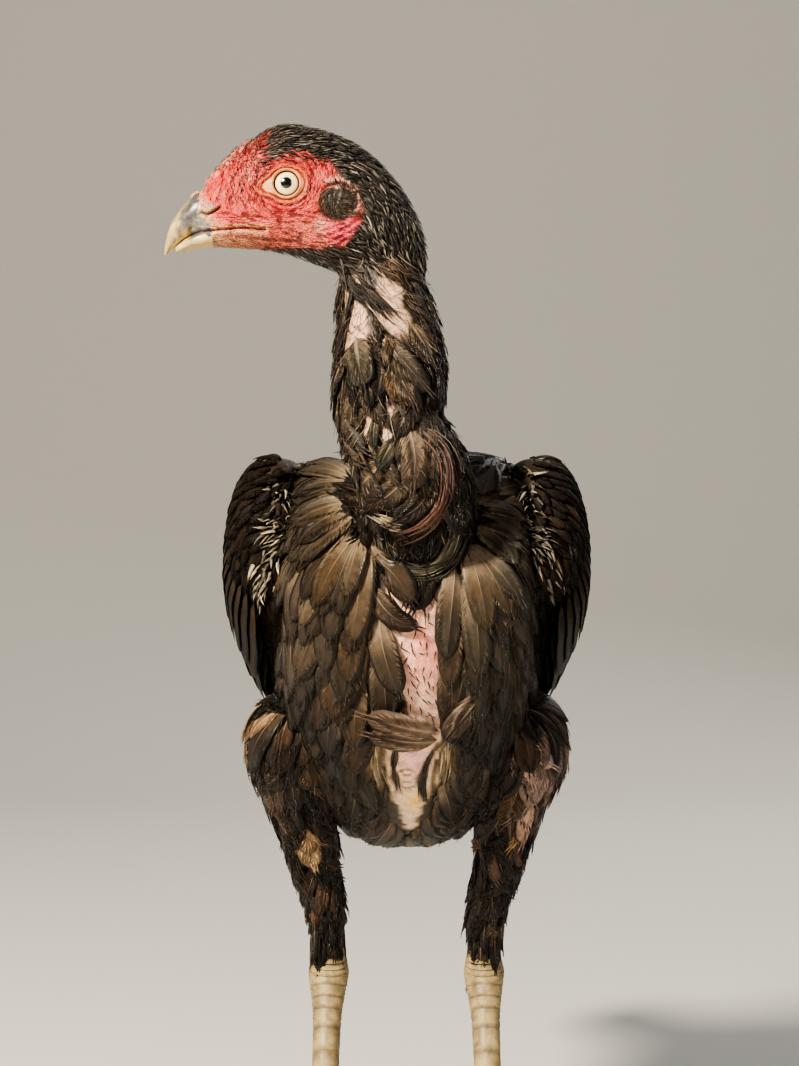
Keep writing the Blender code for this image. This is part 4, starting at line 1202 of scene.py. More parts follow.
def blades(coat, lines, normals, half, outline, columns, tints, roots_uv, rng, **form):
    """Adds closed blades along centre lines.

    The form's words: camber, jag, sweep, thick, roll, edge, tip, pale and root.
    """
    camber, jag, sweep = form.get("camber", 0.12), form.get("jag", 0.12), form.get("sweep", 0.6)
    thick = form.get("thick", 0.00035)
    count, rows = lines.shape[:2]
    steps = np.linalg.norm(np.diff(lines, axis=1), axis=2)
    along = np.concatenate([np.zeros((count, 1)), np.cumsum(steps, axis=1)], axis=1)
    share = along / along[:, -1:]
    ahead, side, up = blade_frame(lines, normals, form.get("roll", 0.0))
    wide = np.broadcast_to(half, count)[:, None] * outline(share)
    inner = slice(1, rows - 1)
    line, ahead, side, up = lines[:, inner], ahead[:, inner], side[:, inner], up[:, inner]
    wide, run, part = wide[:, inner], along[:, inner], share[:, inner]
    parts, offsets = np.array([c[0] for c in columns]), np.array([c[1] for c in columns])
    ragged = 1 - jag * rng.random((count, rows - 2, len(columns))) ** 2.0 * (np.abs(parts) == 1)
    ribbed = bool(np.any(offsets))
    across = wide[..., None] * parts * ragged + offsets * (1 - 0.6 * part[..., None])
    level = -camber * wide[..., None] * np.abs(parts) ** 1.7
    if ribbed:
        centre = (parts == 0) & (offsets == 0)
        level = level + centre * RIB_HEIGHT * (1 - 0.75 * part[..., None])
    reach = sweep * np.abs(across) * np.clip((1 - part[..., None]) / 0.25, 0, 1)
    top = line[..., None, :] + side[..., None, :] * across[..., None]
    top = top + up[..., None, :] * level[..., None] + ahead[..., None, :] * reach[..., None]
    under = line - up * (thick + 0.5 * camber * wide[..., None])
    body = np.concatenate([top, under[..., None, :]], axis=2)
    ends = np.stack([lines[:, 0] - normals[:, 0] * thick, lines[:, -1]], axis=1)
    points = np.concatenate([body.reshape(count, -1, 3), ends], axis=1)
    shape = body.shape[:3]
    vane = np.zeros((*shape, 3))
    vane[..., 0] = run[..., None] + np.concatenate([reach, np.zeros((*shape[:2], 1))], axis=2)
    vane[..., 1] = np.concatenate([across, np.zeros((*shape[:2], 1))], axis=2)
    vane[..., 2] = part[..., None]
    tips = np.zeros((count, 2, 3))
    tips[:, 1, 0] = along[:, -1]
    tips[:, 1, 2] = 1.0
    vanes = np.concatenate([vane.reshape(count, -1, 3), tips], axis=1)
    edge = np.concatenate([np.abs(parts), [0.6]])
    tone = 1 - form.get("edge", 0.35) * edge[None, None, :] ** 2
    tone = tone * (1 - form.get("tip", 0.25) * part[..., None] ** 2)
    pale = form.get("pale", 0.35) * (1 - smooth(0.0, 0.55, part))[..., None] * np.ones(shape)
    root_tint = np.asarray(form.get("root", PALE_ROOT))
    base = tints[:, None, None, :] * tone[..., None]
    base = base * (1 - pale[..., None]) + root_tint * pale[..., None]
    cap = np.stack([base[:, 0, 0], base[:, -1, 0]], axis=1)
    colours = np.concatenate([base.reshape(count, -1, 3), cap], axis=1)
    patch = np.zeros((*shape, 2))
    patch[..., 0] = np.concatenate([parts, [0.0]])[None, None, :] * 0.5
    patch[..., 1] = part[..., None] - 0.5
    end_patch = np.array([[[0, -0.5], [0, 0.5]]] * count)
    patch = np.concatenate([patch.reshape(count, -1, 2), end_patch], axis=1)
    uv = roots_uv[:, None, :] + patch * TUFT_PATCH
    coat.add(points, blade_faces(rows - 2, len(columns)), colours, vanes, uv)


def barb_faces(rings):
    """Triangles of a closed sliver: a point at each end and rings of three points between them."""
    faces = [(0, 2, 1), (0, 3, 2), (0, 1, 3)]
    for k in range(rings - 1):
        near, far = 1 + 3 * k, 4 + 3 * k
        for one, two in ((0, 1), (1, 2), (2, 0)):
            faces += [(near + one, near + two, far + two), (near + one, far + two, far + one)]
    last, tip = 3 * rings - 2, 3 * rings + 1
    faces += [(tip, last, last + 1), (tip, last + 1, last + 2), (tip, last + 2, last)]
    return np.array(faces)


def between(values, places, onward=False):
    """Values of each line's rows at fractional places, carried on past the last row if onward."""
    low = np.clip(np.floor(places).astype(int), 0, values.shape[1] - 2)
    share = places - low if onward else np.clip(places - low, 0, 1)
    index = np.arange(len(values)).reshape(-1, *(1,) * (places.ndim - 1))
    share = share[..., None]
    return values[index, low] * (1 - share) + values[index, low + 1] * share


def barbs(coat, lines, normals, half, outline, tints, roots_uv, rng, **form):
    """Adds fine separate barbs to both sides of centre lines.

    The form's words: number, rings, low, start, over, slant, camber, roll, above, width, spread,
    pale, root, edge and tip.
    """
    number, rings, start = form.get("number", 24), form.get("rings", 1), form.get("start", 0.0)
    count, rows = lines.shape[:2]
    _, side, up = blade_frame(lines, normals, form.get("roll", 0.0))
    length = np.linalg.norm(np.diff(lines, axis=1), axis=2).sum(axis=1)[:, None, None]
    half = np.broadcast_to(half, count)[:, None, None]
    shape = (count, number, 2)
    first = np.linspace(form.get("low", 0.03), 0.96, number)[None, :, None]
    first = np.clip(first + rng.uniform(-0.5, 0.5, shape) / number, 0.0, 0.98)
    onward = form.get("slant", 1.6) * rng.uniform(0.85, 1.15, shape) * half / length * (1 - 0.45 * first)
    reach = half * np.maximum(outline(np.clip(first + onward, 0, 0.99)), 0.08)
    reach = reach * rng.uniform(*form.get("over", (0.95, 1.10)), shape)
    u = start + (1 - start) * np.linspace(0, 1, rings + 2)
    across = (reach * np.array((-1.0, 1.0)))[..., None] * (1 - (1 - u) ** 1.3)
    places = (first[..., None] + onward[..., None] * u**1.1) * (rows - 1)
    drop = form.get("camber", 0.12) * half[..., None] * np.abs(across / half[..., None]) ** 1.7
    level = form.get("above", 0.00012) * rng.uniform(0.3, 1.6, shape)[..., None] - drop
    sideways, upward = between(side, places), between(up, places)
    centres = between(lines, places, True) + sideways * across[..., None] + upward * level[..., None]
    run = centres[..., -1, :] - centres[..., 0, :]
    beside = unit(np.cross(upward[..., 1, :], run))
    width = form.get("width", 0.00022) * rng.uniform(0.7, 1.3, shape)
    points = np.empty((*shape, 2 + 3 * rings, 3))
    points[..., 0, :], points[..., -1, :] = centres[..., 0, :], centres[..., -1, :]
    steps = [u[0]]
    for k in range(rings):
        wide = (width * (1 - 0.35 * k / rings))[..., None]
        middle = centres[..., k + 1, :]
        points[..., 1 + 3 * k, :] = middle + beside * wide
        points[..., 2 + 3 * k, :] = middle - beside * wide
        points[..., 3 + 3 * k, :] = middle - upward[..., k + 1, :] * wide * 0.8
        steps += [u[k + 1]] * 3
    steps = np.array(steps + [1.0])
    tone = np.exp(rng.normal(0, form.get("spread", 0.14), shape))[..., None]
    tone = tone * (1 - form.get("edge", 0.2) * steps**2) * (1 - form.get("tip", 0.25) * first[..., None] ** 2)
    pale = form.get("pale", 0.2) * (1 - smooth(0.0, 0.6, first))[..., None] * (1 - 0.6 * steps)
    root = np.asarray(form.get("root", PALE_ROOT))
    colours = tints[:, None, None, None, :] * tone[..., None]
    colours = colours * (1 - pale[..., None]) + root * pale[..., None]
    vanes = np.zeros_like(points)
    vanes[..., 0] = rng.uniform(0, 0.01, shape)[..., None]
    vanes[..., 1] = 0.01
    vanes[..., 2] = first[..., None]
    patch = np.zeros((*points.shape[:-1], 2))
    patch[..., 0] = np.array((-0.5, 0.5))[:, None] * steps
    patch[..., 1] = first[..., None] - 0.5
    uv = roots_uv[:, None, None, None, :] + patch * TUFT_PATCH
    size = points.shape[-2]
    coat.add(
        points.reshape(-1, size, 3), barb_faces(rings), colours.reshape(-1, size, 3),
        vanes.reshape(-1, size, 3), uv.reshape(-1, size, 2),
    )


def open_feathers(coat, lines, normals, half, outline, tints, uv, rng, **form):
    """Feathers of a thin pale shaft and separate barbs, with nothing between them."""
    shown = rng.uniform(0.1, 0.8, len(lines))
    shafts = mixed(tints, np.array(form.get("shaft", (0.36, 0.28, 0.18))), shown)
    blades(
        coat, lines + normals * 0.0002, normals, 0.00019, lance, SLIGHT, shafts, uv, rng,
        camber=0.4, jag=0.0, pale=0.0, thick=0.00012, edge=0.0, tip=0.3,
    )
    barbs(coat, lines, normals, half, outline, tints, uv, rng, **form)


def soft_feathers(coat, lines, normals, half, outline, tints, uv, rng, **form):
    """Feathers with a closed vane and a fringe of separate barbs that runs out past its edge."""
    vane = dict(form)
    for word in ("number", "rings", "low", "start", "over", "slant", "above", "width"):
        vane.pop(word, None)
    blades(coat, lines, normals, half * 0.94, outline, RIBBED, tints, uv, rng, **vane)
    fringe = {"start": 0.4, "over": (0.98, 1.14), "number": 34, "slant": 1.5, "width": 0.00024, **form}
    barbs(coat, lines, normals, half, outline, tints, uv, rng, **fringe)


def turned(vectors, normals, angles):
    """Vectors turned about normals that they lie square to."""
    c, s = np.cos(angles)[:, None], np.sin(angles)[:, None]
    return vectors * c + np.cross(normals, vectors) * s


def along_skin(vectors, normals):
    return unit(vectors - normals * np.einsum("ij,ij->i", vectors, normals)[:, None])


def laid(roots, directions, lengths, rise, t, sink=0.0006, lift=0.6, bend=0.0):
    """Centre lines that follow the skin from their roots and rise to their tips.

    They rise sooner for a low lift, start below the skin by the sink, and turn by the bend.
    """
    places, normals = skin.nearest(roots)
    directions = along_skin(directions, normals)
    rows_p, rows_n = [places], [normals]
    bend = np.broadcast_to(bend, len(roots))
    for k in range(1, len(t)):
        step = lengths * (t[k] - t[k - 1])
        guess = places + directions * step[:, None]
        fresh, fresh_normals = skin.nearest(guess)
        normals = unit(normals * 0.5 + fresh_normals * 0.5)
        onward = along_skin(fresh - places, normals)
        directions = unit(along_skin(directions * 0.5 + onward * 0.5, normals))
        directions = turned(directions, normals, bend * (t[k] - t[k - 1]))
        places = fresh
        rows_p.append(places)
        rows_n.append(normals)
    lines, normals = np.stack(rows_p, 1), np.stack(rows_n, 1)
    for _ in range(2):
        lines[:, 1:-1] = lines[:, 1:-1] * 0.5 + (lines[:, 2:] + lines[:, :-2]) * 0.25
    rise = np.broadcast_to(rise, len(roots))
    height = rise[:, None] * t**lift - sink * (1 - t) ** 4
    return lines + normals * height[..., None], normals


def scattered(points, spacing, rng):
    """Numbers of the points that are kept, so that none lies nearer to another than its spacing."""
    order = rng.permutation(len(points))
    spacing = np.broadcast_to(spacing, len(points))
    tree = KDTree(len(points))
    for k, point in enumerate(points.tolist()):
        tree.insert(point, k)
    tree.balance()
    free = np.ones(len(points), bool)
    kept = []
    for k in order:
        if not free[k]:
            continue
        kept.append(k)
        for _, other, _ in tree.find_range(points[k], spacing[k]):
            free[other] = False
    return np.array(kept)


def sown(chosen, spacing, rng):
    """Roots scattered over chosen faces of the skin, and the skin's normals at them."""
    centres, normals = skin.centres[chosen], skin.face_normals[chosen]
    kept = scattered(centres, spacing, rng)
    return centres[kept], normals[kept]


def eased(places, rounds):
    """A line's points, each moved between its neighbours round by round; its ends stay."""
    for _ in range(rounds):
        places[1:-1] = places[1:-1] * 0.5 + (places[2:] + places[:-2]) * 0.25
    return places


# Axes that the unwraps of trunk, neck and head go round
BODY_AXIS = ((0, -0.07, 0.33), (0, 0.14, 0.17))
NECK_AXIS = ((0.004, -0.06, 0.27), (-0.015, -0.052, 0.41))
HEAD_AXIS = ((-0.085, HEAD_Y, 0.425), (0.01, HEAD_Y, 0.415))


def round_unwrap(points, start, end):
    """Places on an unwrap round an axis: the angle about it, and the share of the way along."""
    start, end = np.array(start), np.array(end)
    axis = unit(end - start)
    first = unit(np.cross(axis, (1.0, 0.3, 0.2)))
    second = np.cross(axis, first)
    offset = points - start
    angle = np.arctan2(offset @ second, offset @ first) / (2 * math.pi) + 0.5
    along = (offset @ axis) / np.linalg.norm(end - start)
    return np.clip(np.stack([angle, along], -1), 0.002, 0.998)


def shades(rng, count, base, spread=0.25, warm=0.1):
    """Colours about a base, lighter or darker and warmer or cooler."""
    light = np.exp(rng.normal(0, spread, count))[:, None]
    warmth = rng.normal(0, warm, count)[:, None] * np.array((1.0, 0.1, -1.0))
    return np.asarray(base) * light * (1 + warmth)


def body_flow(points, normals):
    """The way that the trunk's feathers lie: fanned out from the neck's foot, then down and back."""
    x, _, z = points.T
    back = np.array((0.0, 0.85, -0.55))
    front = smooth(0.0, 0.6, -normals[:, 1])
    left_side = x > 0.002
    fan_x = np.where(left_side, 0.0193, -0.0162)
    fan_z = np.where(left_side, 0.2860, 0.3020)
    away = np.stack([x - fan_x, np.zeros(len(x)), z - fan_z], -1)
    far = smooth(0.030, 0.090, np.linalg.norm(away, axis=1))[:, None]
    down = np.stack([np.sign(x) * 0.30, np.full(len(x), 0.35), np.full(len(x), -1.0)], -1)
    fan = unit(away) * (1 - far) + down * far + np.array((0.0, 0.0, -0.2))
    return back * (1 - front)[:, None] + fan * front[:, None]


# Where the coat's pieces begin and end: the breast, the neck's feathers, its nape, the throat,
# the crown's front, and the height over which the thigh's feathers come to hang free
BREAST_TO_Y, NECK_FROM_Z, NAPE_FROM_Y, THROAT_Z, CROWN_FRONT_X = -0.02, 0.262, -0.052, 0.392, -0.028
HEM_FROM_Z, HEM_TO_Z = 0.131, 0.123

# Colours of the coat, as light is reflected
FEATHER_BROWN, FEATHER_DARK = (0.098, 0.064, 0.037), (0.030, 0.019, 0.011)
# The lower breast's warm glint colour is a painted highlight.
FEATHER_GLINT, FAN_BROWN, TAN_ROOT = (0.078, 0.044, 0.022), (0.094, 0.064, 0.037), (0.50, 0.37, 0.24)
NECK_LOW, NECK_HIGH = (0.078, 0.052, 0.034), (0.046, 0.031, 0.022)
STRAND_PALE, WISP_PALE, WISP_DARK = (0.40, 0.32, 0.22), (0.40, 0.31, 0.21), (0.052, 0.035, 0.024)
THIGH_DARK, THIGH_BROWN = (0.026, 0.0165, 0.0105), (0.105, 0.060, 0.034)
THIGH_TAN, THIGH_WORN = (0.42, 0.26, 0.14), (0.56, 0.38, 0.31)
QUILL_DARK, COVERT_DARK = (0.020, 0.0145, 0.0105), (0.024, 0.017, 0.012)
TAIL_DARK, RUMP_DARK = (0.030, 0.021, 0.015), (0.040, 0.028, 0.020)
# The crown's pale grey is a painted highlight, as of glints on wet feathers.
CROWN_DARK, CROWN_GLINT = (0.040, 0.030, 0.023), (0.30, 0.26, 0.21)


def trunk_feathers(look):
    """Body feathers, long and silky on the breast; they end at the wings and at the neck's foot."""
    rng = np.random.default_rng(11)
    chosen = labels == "trunk"
    spacing = 0.0074 - 0.0006 * smooth(0.0, 0.06, skin.centres[chosen, 1])
    roots, normals = sown(chosen, spacing, rng)
    bare = keel_bareness(roots) > rng.uniform(0.2, 0.6, len(roots))
    ring, _ = path_distance(roots[:, 0], roots[:, 2], NECK_RING)
    under_ring = (ring < 0.004) & (roots[:, 1] < -0.04)
    roots, normals = roots[~bare & ~under_ring], normals[~bare & ~under_ring]
    x, y, z = roots.T
    count = len(roots)
    front = smooth(0.0, 0.6, -normals[:, 1])
    high = smooth(0.215, 0.280, z)
    lengths = 0.0250 + (0.0050 + 0.0085 * high) * front - 0.004 * smooth(0.06, 0.12, y)
    lengths *= rng.uniform(0.88, 1.12, count)
    half = (0.0058 + 0.0006 * front) * rng.uniform(0.88, 1.12, count)
    way = turned(along_skin(body_flow(roots, normals), normals), normals, rng.normal(0, 0.09, count))
    rise = (0.0046 + 0.0006 * front) * rng.uniform(0.80, 1.10, count)
    bend = rng.normal(0, 0.14, count)
    rows = 16
    steps = shares(rows, 1.1)
    lines, _ = laid(roots, way, lengths, rise, steps, bend=bend)
    under = [labels[skin.found(lines[:, k])] for k in range(rows)]
    on_wing = np.stack([np.char.startswith(names, "wing") for names in under], 1)
    covered = np.cumprod(~on_wing, axis=1).sum(axis=1) / rows
    lengths *= np.clip(covered + 0.12, 0.3, 1.0)
    lines, line_normals = laid(roots, way, lengths, rise, steps, lift=0.75, bend=bend)
    free = (covered > 0.15) & (keel_bareness(lines[:, -2]) < 0.5)
    free &= keel_bareness(lines[:, rows // 2]) < 0.4
    # Partly painted light: the upper front of the breast, which faces the lamps, is mixed towards the lighter
    # brown; partly the breast's own browner feathers.
    lit = front * smooth(0.215, 0.290, z)
    base = mixed(np.array(FEATHER_DARK), np.array(FEATHER_BROWN), lit * rng.uniform(0.6, 1.0, count))
    # Painted highlight: about a third of the lower breast's front feathers get the warm glint colour.
    glint = (rng.random(count) < 0.30) & (lit < 0.5) & (front > 0.5)
    base[glint] = FEATHER_GLINT
    tints = shades(rng, count, base, 0.26, 0.07)
    rolls = rng.normal(0, 0.07, count)
    uv = round_unwrap(roots, *BODY_AXIS)
    for word, take in (("front", y < BREAST_TO_Y), ("back", y >= BREAST_TO_Y)):
        for side, take_side in (("left", x >= 0), ("right", x < 0)):
            picked = take & take_side & free
            ahead = word == "front"
            coat = Coat()
            soft_feathers(
                coat, lines[picked], line_normals[picked], half[picked], broad, tints[picked], uv[picked],
                rng, camber=0.15, jag=0.0, roll=rolls[picked], pale=0.62 if ahead else 0.2, root=TAN_ROOT,
                edge=0.15, tip=0.58, number=42 if ahead else 16, width=0.00022, over=(0.94, 1.05),
                above=0.00008,
            )
            coat.build(f"feathers_{word}_{side}", look, "breast")


# Single broad feathers seen from the front: path (x, z), half width, height over the skin, colour
LONE_FEATHERS = (
    (((-0.0160, 0.2700), (-0.0070, 0.2580), (0.0040, 0.2530)), 0.0046, 0.0040, (0.060, 0.036, 0.022)),
    (((0.0118, 0.2080), (-0.0010, 0.2095), (-0.0140, 0.2135)), 0.0062, 0.0066, (0.150, 0.094, 0.060)),
    (((0.0120, 0.2120), (0.0000, 0.2155), (-0.0150, 0.2215)), 0.0062, 0.0080, (0.185, 0.118, 0.076)),
    (((0.0290, 0.2280), (0.0220, 0.2210), (0.0140, 0.2120)), 0.0060, 0.0070, (0.105, 0.064, 0.040)),
    (((-0.0190, 0.3640), (-0.0173, 0.3560), (-0.0152, 0.3430)), 0.0062, 0.0046, (0.100, 0.080, 0.054)),
    (((-0.0110, 0.3640), (-0.0030, 0.3540), (0.0055, 0.3420)), 0.0064, 0.0046, (0.085, 0.062, 0.042)),
    (((-0.0220, 0.3580), (-0.0250, 0.3480), (-0.0250, 0.3390)), 0.0050, 0.0042, (0.060, 0.043, 0.030)),
    (((-0.0050, 0.3520), (-0.0020, 0.3440), (0.0010, 0.3350)), 0.0056, 0.0046, (0.100, 0.070, 0.048)),
    (((0.0000, 0.3700), (0.0040, 0.3620), (0.0075, 0.3520)), 0.0052, 0.0040, (0.095, 0.066, 0.045)),
    (((-0.0150, 0.3440), (-0.0136, 0.3400), (-0.0128, 0.3355)), 0.0022, 0.0048, (0.030, 0.026, 0.018)),
    (((-0.0112, 0.3355), (-0.0119, 0.3257), (-0.0108, 0.3205)), 0.0022, 0.0036, (0.050, 0.048, 0.032)),
    (((-0.0039, 0.3255), (-0.0073, 0.3184), (-0.0089, 0.3130)), 0.0034, 0.0046, (0.058, 0.054, 0.036)),
    (((0.0000, 0.3290), (0.0025, 0.3184), (0.0021, 0.3060)), 0.0058, 0.0042, (0.125, 0.085, 0.056)),
    (((0.0030, 0.3290), (0.0105, 0.3204), (0.0130, 0.3080)), 0.0056, 0.0038, (0.110, 0.072, 0.050)),
    (((-0.0060, 0.3200), (-0.0120, 0.3115), (-0.0190, 0.3050)), 0.0052, 0.0038, (0.085, 0.055, 0.036)),
    (((0.0020, 0.3130), (-0.0050, 0.3050), (-0.0130, 0.2990)), 0.0054, 0.0040, (0.052, 0.033, 0.022)),
    (((0.0100, 0.3110), (0.0050, 0.3010), (-0.0040, 0.2950)), 0.0050, 0.0040, (0.032, 0.020, 0.013)),
)


def lone_feathers(look):
    rng = np.random.default_rng(51)
    coat = Coat()
    rows = 14
    for path, half, height, tint in LONE_FEATHERS:
        places, normals = skin.from_front(refined(path, rows))
        places = eased(places, 3)
        t = np.linspace(0, 1, rows)
        lines = places + normals * (height * (0.25 + 0.75 * t**0.6))[:, None]
        uv = round_unwrap(places[:1], *BODY_AXIS)
        soft_feathers(
            coat, lines[None], normals[None], np.array([half]), broad, np.array([tint]), uv, rng,
            camber=0.16, jag=0.0, pale=0.40, root=TAN_ROOT, edge=0.1, tip=0.40, number=64,
            over=(0.95, 1.14), slant=1.9, width=0.00022, above=0.00020, start=0.1, spread=0.22,
        )
    coat.build("feathers_lone", look, "breast")


# Fans of breast feathers at the neck's foot, seen from the front: centre (x, z), first and last
# way in degrees round from the hen's left, number in a layer, length, half width
FANS = (
    (-0.0185, 0.3080, 125, 180, 4, 0.024, 0.0058),
    (-0.0170, 0.3010, 172, 232, 5, 0.033, 0.0064),
    (-0.0140, 0.2940, 222, 252, 4, 0.036, 0.0062),
    (0.0240, 0.2990, 8, -18, 3, 0.022, 0.0060),
    (0.0230, 0.2960, 2, -48, 4, 0.032, 0.0064),
    (0.0215, 0.2870, -36, -82, 5, 0.038, 0.0064),
)
FAN_EDGE = 0.0450


def fan_feathers(look):
    """The topmost breast feathers, spread from beside the neck's foot, tan at their roots."""
    rng = np.random.default_rng(53)
    coat = Coat()
    for x, z, first, last, number, length, half in FANS:
        for layer, start in ((0, 0.0120), (1, 0.0030)):
            count = number + layer
            turn = first + (last - first) * (np.arange(count) + 0.5) / count + rng.normal(0, 6.0, count)
            way = np.stack([np.cos(np.radians(turn)), np.sin(np.radians(turn))], -1)
            spots = np.array((x, z)) + way * start
            room = (FAN_EDGE - np.abs(spots[:, 0])) / np.maximum(np.abs(way[:, 0]), 0.05)
            lengths = np.minimum(length * rng.uniform(0.84, 1.14, count), np.maximum(room, 0.012))
            places, _ = skin.from_front(spots, 0.05)
            ahead = np.stack([way[:, 0], np.zeros(count), way[:, 1] - 0.15], -1)
            bend = -0.45 * way[:, 0] + rng.normal(0, 0.14, count)
            rise = (0.0050 + 0.0010 * layer) * rng.uniform(0.9, 1.1, count)
            lines, normals = laid(places, ahead, lengths, rise, shares(18, 1.1), lift=0.6, bend=bend)
            tints = shades(rng, count, FAN_BROWN, 0.26, 0.07)
            uv = round_unwrap(places, *BODY_AXIS)
            wide = half * np.minimum(1.0, lengths / 0.024) * rng.uniform(0.92, 1.08, count)
            soft_feathers(
                coat, lines, normals, wide, broad, tints, uv, rng, camber=0.15, jag=0.0, pale=0.80,
                root=TAN_ROOT, edge=0.15, tip=0.62, number=56, width=0.00020, over=(0.94, 1.05),
                above=0.00008, spread=0.16, roll=rng.normal(0, 0.05, count),
            )
    coat.build("feathers_fan", look, "breast")


# The lock of reddish strands that winds round the front of the neck's foot
RED_LOCK = (
    (0.0050, 0.3270), (0.0118, 0.3200), (0.0140, 0.3110), (0.0118, 0.3000), (0.0050, 0.2925),
    (-0.0050, 0.2895),
)
# Draped strands seen from the front: path (x, z), strands, spread to each side, height, half
# width, colour, share of pale ones
DRAPES = (
    (NECK_RING, 120, 0.0044, 0.0034, 0.00055, (0.066, 0.060, 0.038), 0.20),
    (RED_LOCK, 80, 0.0024, 0.0046, 0.00048, (0.150, 0.062, 0.040), 0.16),
    (((0.0158, 0.3300), (0.0186, 0.3207), (0.0217, 0.3093), (0.0214, 0.2978), (0.0175, 0.2870)),
     60, 0.0030, 0.0036, 0.00060, (0.030, 0.026, 0.017), 0.14),
    (((-0.0010, 0.2925), (-0.0060, 0.2950), (-0.0110, 0.2990)),
     34, 0.0018, 0.0048, 0.00060, (0.50, 0.37, 0.24), 0.5),
    (((-0.0256, 0.3930), (-0.0190, 0.3840), (-0.0130, 0.3770), (-0.0070, 0.3690)),
     48, 0.0034, 0.0036, 0.00065, (0.034, 0.022, 0.015), 0.08),
    (((-0.0262, 0.3900), (-0.0278, 0.3760), (-0.0290, 0.3600), (-0.0280, 0.3450)),
     40, 0.0028, 0.0034, 0.00055, (0.034, 0.024, 0.017), 0.15),
    (((0.0040, 0.3900), (0.0100, 0.3800), (0.0120, 0.3650), (0.0130, 0.3500)),
     60, 0.0044, 0.0036, 0.00070, (0.028, 0.018, 0.012), 0.05),
    (((-0.0160, 0.3300), (-0.0200, 0.3220), (-0.0210, 0.3130)),
     30, 0.0030, 0.0036, 0.00050, (0.060, 0.048, 0.036), 0.3),
    (((-0.0125, 0.2070), (-0.0120, 0.1960), (-0.0090, 0.1860)),
     46, 0.0022, 0.0022, 0.00045, (0.46, 0.34, 0.21), 0.2),
    (((0.0150, 0.2110), (0.0150, 0.1990), (0.0130, 0.1880)),
     46, 0.0024, 0.0024, 0.00045, (0.42, 0.30, 0.18), 0.2),
    (((-0.0040, 0.2050), (-0.0052, 0.1950), (-0.0030, 0.1850)),
     16, 0.0010, 0.0014, 0.00040, (0.045, 0.028, 0.018), 0.0),
    (((0.0125, 0.2060), (0.0080, 0.1970), (0.0062, 0.1880), (0.0070, 0.1800)),
     26, 0.0014, 0.0018, 0.00045, (0.030, 0.020, 0.013), 0.0),
)


def draped_strands(look):
    """Long narrow strands that hang and wind over the neck, lock by lock."""
    rng = np.random.default_rng(52)
    coat = Coat()
    rows = 11
    t = np.linspace(0, 1, rows)
    for path, count, spread, height, half, tint, pale_share in DRAPES:
        line = refined(path, 60)
        ahead = unit(np.gradient(line, axis=0))
        beside = np.stack([-ahead[:, 1], ahead[:, 0]], -1)
        lines, normals = [], []
        for _ in range(count):
            start = rng.uniform(-0.05, 0.55)
            stop = min(start + rng.uniform(0.30, 0.60), 1.0)
            places = np.clip(np.linspace(start, stop, rows), 0, 1) * (len(line) - 1)
            aside = np.clip(rng.normal(0, 0.5), -1, 1) * spread
            off = aside + t * rng.normal(0, 0.20) * spread
            spots = np.stack([np.interp(places, np.arange(len(line)), line[:, k]) for k in (0, 1)], -1)
            ways = np.stack([np.interp(places, np.arange(len(line)), beside[:, k]) for k in (0, 1)], -1)
            found, found_normals = skin.from_front(spots + ways * off[:, None])
            found = eased(found, 3)
            over = height * rng.uniform(0.6, 1.15)
            lines.append(found + found_normals * (over * (0.35 + 0.65 * t**0.5))[:, None])
            normals.append(found_normals)
        lines, normals = np.array(lines), np.array(normals)
        tints = shades(rng, count, tint, 0.35, 0.08)
        pale = rng.random(count) < pale_share
        tints[pale] = shades(rng, pale.sum(), STRAND_PALE, 0.25, 0.05)
        wide = half * np.where(pale, 0.5, 1.0) * rng.uniform(0.7, 1.5, count)
        uv = round_unwrap(lines[:, 0], *NECK_AXIS)
        blades(
            coat, lines, normals, wide, lance, PLAIN, tints, uv, rng,
            camber=0.35, jag=0.15, pale=0.0, thick=0.00015,
        )
    coat.build("strands_neck", look, "plumage")


def neck_way(points):
    """Down the neck, along its bends."""
    rows = refined(NECK, 80)
    way = -unit(np.gradient(rows[:, :3], axis=0))
    return np.stack([np.interp(points[:, 2], rows[:, 2], way[:, k]) for k in range(3)], -1)


# Wisps of the neck: above or below this height, spacing, seed
WISP_SPLIT_Z = 0.356
NECK_WISPS = (("upper", 0.00180, 31), ("lower", 0.00270, 32))
WISP_LENGTH, WISP_RISE, WISP_PALE_SHARE = 0.0105, 0.0044, 0.27


